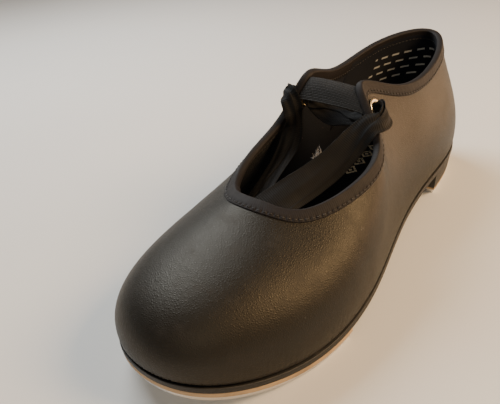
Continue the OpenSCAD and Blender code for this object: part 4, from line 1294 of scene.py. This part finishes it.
def tread(x, y):
    """Hollows that a foot has worn into the sock under the heel and the ball."""
    heel = np.exp(-((x - heel_x) / 17) ** 2 - ((y - 94) / 21) ** 2)
    ball = np.exp(-((x - 2) / 26) ** 2 - ((y + 45) / 24) ** 2)
    return -0.55 * heel - 0.4 * ball + 0.12 * waves(x, y, 61, 7, 0.15, 0.6)


sock_low = foot_lift + 2 + 2
sock_top = sock_low + 0.8
slab_piece("sock_lining_cloth", sock, ["sock_lining"], under,
           [[0.35, sock_top - 0.02], [0.1, sock_top - 0.12], [0, sock_top - 0.4],
            [0.1, sock_low + 0.05], [0.3, sock_low]],
           -0.7, crown=tread, across=61, steps=200)
sole = slab_piece("outsole_moulded", rubber, ["outsole"], under,
                  rounded(outsole_t, 0, 0.45), shell_t + welt, across=31, steps=150)
drill(sole, True)
block = slab_piece("heel_block_moulded", rubber, ["heel_block"], no_rise,
                   rounded(heel_h, tap_stack, 0.3, 1.2), shell_t + welt - 0.4,
                   start=heel_front, across=31, steps=60)
drill(block, True)

toe_tap_back = 55.0
toe_back_r = 70.0
heel_tap_front = 70.0
heel_front_r = 16.0


def toe_hollow(x, offset):
    """Depth of the round hollow in the toe tap's back edge."""
    inset = shell_t + welt - 1.2 - offset
    reach = toe_back_r + inset
    centre_y = -toe_tap_back + toe_back_r - 4
    back = centre_y - np.sqrt(np.clip(reach ** 2 - x ** 2, 0, None))
    return np.minimum(back - (-toe_tap_back - inset), 0)


def heel_hollow(x, offset):
    """Depth of the round hollow in the heel tap's front edge."""
    inset = shell_t + welt - 3.1 - offset
    reach = heel_front_r + inset
    front = heel_tap_front - 4 + np.sqrt(np.clip(reach ** 2 - (x - heel_x) ** 2, 0, None))
    return np.maximum(front - (heel_tap_front + inset), 0)


def lowered(y):
    return under(y) - tap_stack


board_t = 2.2
board_grow = 1.0
tap_t = 2.6
tap_offset = shell_t + welt - 1.2
heel_offset = shell_t + welt - 3.1
toe_board = slab_piece("toe_board_pressed", tan_board, ["toe_sounding_board"], under,
                       rounded(-0.02, -board_t + 0.02, 0.2), tap_offset + board_grow,
                       end=-toe_tap_back + board_grow, hollow=toe_hollow, across=61, steps=70)
drill(toe_board)
toe_plate = slab_piece("toe_tap_cast", tap_metal, ["toe_tap"], lowered,
                       rounded(tap_t - 0.02, 0, 0.5), tap_offset, end=-toe_tap_back, hollow=toe_hollow,
                       across=61, steps=70)
drill(toe_plate)
heel_board = slab_piece("heel_board_pressed", tan_board, ["heel_sounding_board"], no_rise,
                        rounded(tap_stack - 0.02, tap_t + 0.02, 0.2), heel_offset + board_grow,
                        start=heel_tap_front - board_grow,
                        hollow=heel_hollow, across=101, steps=60)
drill(heel_board)
heel_plate = slab_piece("heel_tap_cast", tap_metal, ["heel_tap"], no_rise,
                        rounded(tap_t - 0.02, 0, 0.5), heel_offset, start=heel_tap_front, hollow=heel_hollow,
                        across=101, steps=60)
drill(heel_plate)


# ---- Floor and lights

def floor_finish():
    """Plain pale backdrop with a very fine tooth."""
    f = Finish("floor_finish", specular_ior_level=0.2)
    p = f.place()
    colour = f.blend(f.noise(p, 6, 2), tone(0.8, 0.8, 0.79), tone(0.84, 0.84, 0.83))
    return f.finish(colour, 0.85, f.noise(p, 2500, 2) * 0.00001)


floor = bpy.data.objects.new("floor", bpy.data.meshes.new("floor"))
reach = 3.0
floor.data.from_pydata([(-reach, -reach, -0.0002), (reach, -reach, -0.0002), (reach, reach, -0.0002),
                        (-reach, reach, -0.0002)], [], [(0, 1, 2, 3)])
floor.data.materials.append(floor_finish())
bpy.context.scene.collection.objects.link(floor)


def soft_light(name, place, aim, size, watts, colour):
    """A square panel of light at a place, turned to face its aim."""
    data = bpy.data.lights.new(name, "AREA")
    data.shape = "RECTANGLE"
    data.size, data.size_y = size
    data.energy = watts
    data.color = colour
    light = bpy.data.objects.new(name, data)
    bpy.context.scene.collection.objects.link(light)
    back = unit(np.array(place, float) - np.array(aim, float))
    flat = unit(np.cross([0, 0, 1.0], back) + [1e-6, 0, 0])
    pose = np.eye(4)
    pose[:3, 0], pose[:3, 1], pose[:3, 2], pose[:3, 3] = flat, np.cross(back, flat), back, place
    light.matrix_world = Matrix(pose.tolist())


soft_light("key_panel", (-0.5, 0.1, 0.6), (0, -0.06, 0.04), (0.45, 0.45), 5.5, (0.97, 1.0, 1.0))
soft_light("warm_panel", (0.62, 0.28, 0.6), (0, -0.05, 0.04), (0.4, 0.4), 10.5, (1.0, 0.66, 0.34))
soft_light("low_warm_panel", (0.5, 0.85, 0.08), (0, -0.02, 0.04), (0.5, 0.3), 4.5, (1.0, 0.6, 0.32))
soft_light("front_fill", (0.5, -0.8, 0.8), (0, 0, 0.03), (0.4, 0.4), 2.5, (1.0, 0.86, 0.66))
world = bpy.data.worlds.new("studio")
world.use_nodes = True
world.node_tree.nodes["Background"].inputs["Color"].default_value = tone(0.93, 0.94, 0.96)
world.node_tree.nodes["Background"].inputs["Strength"].default_value = 0.13
bpy.context.scene.world = world
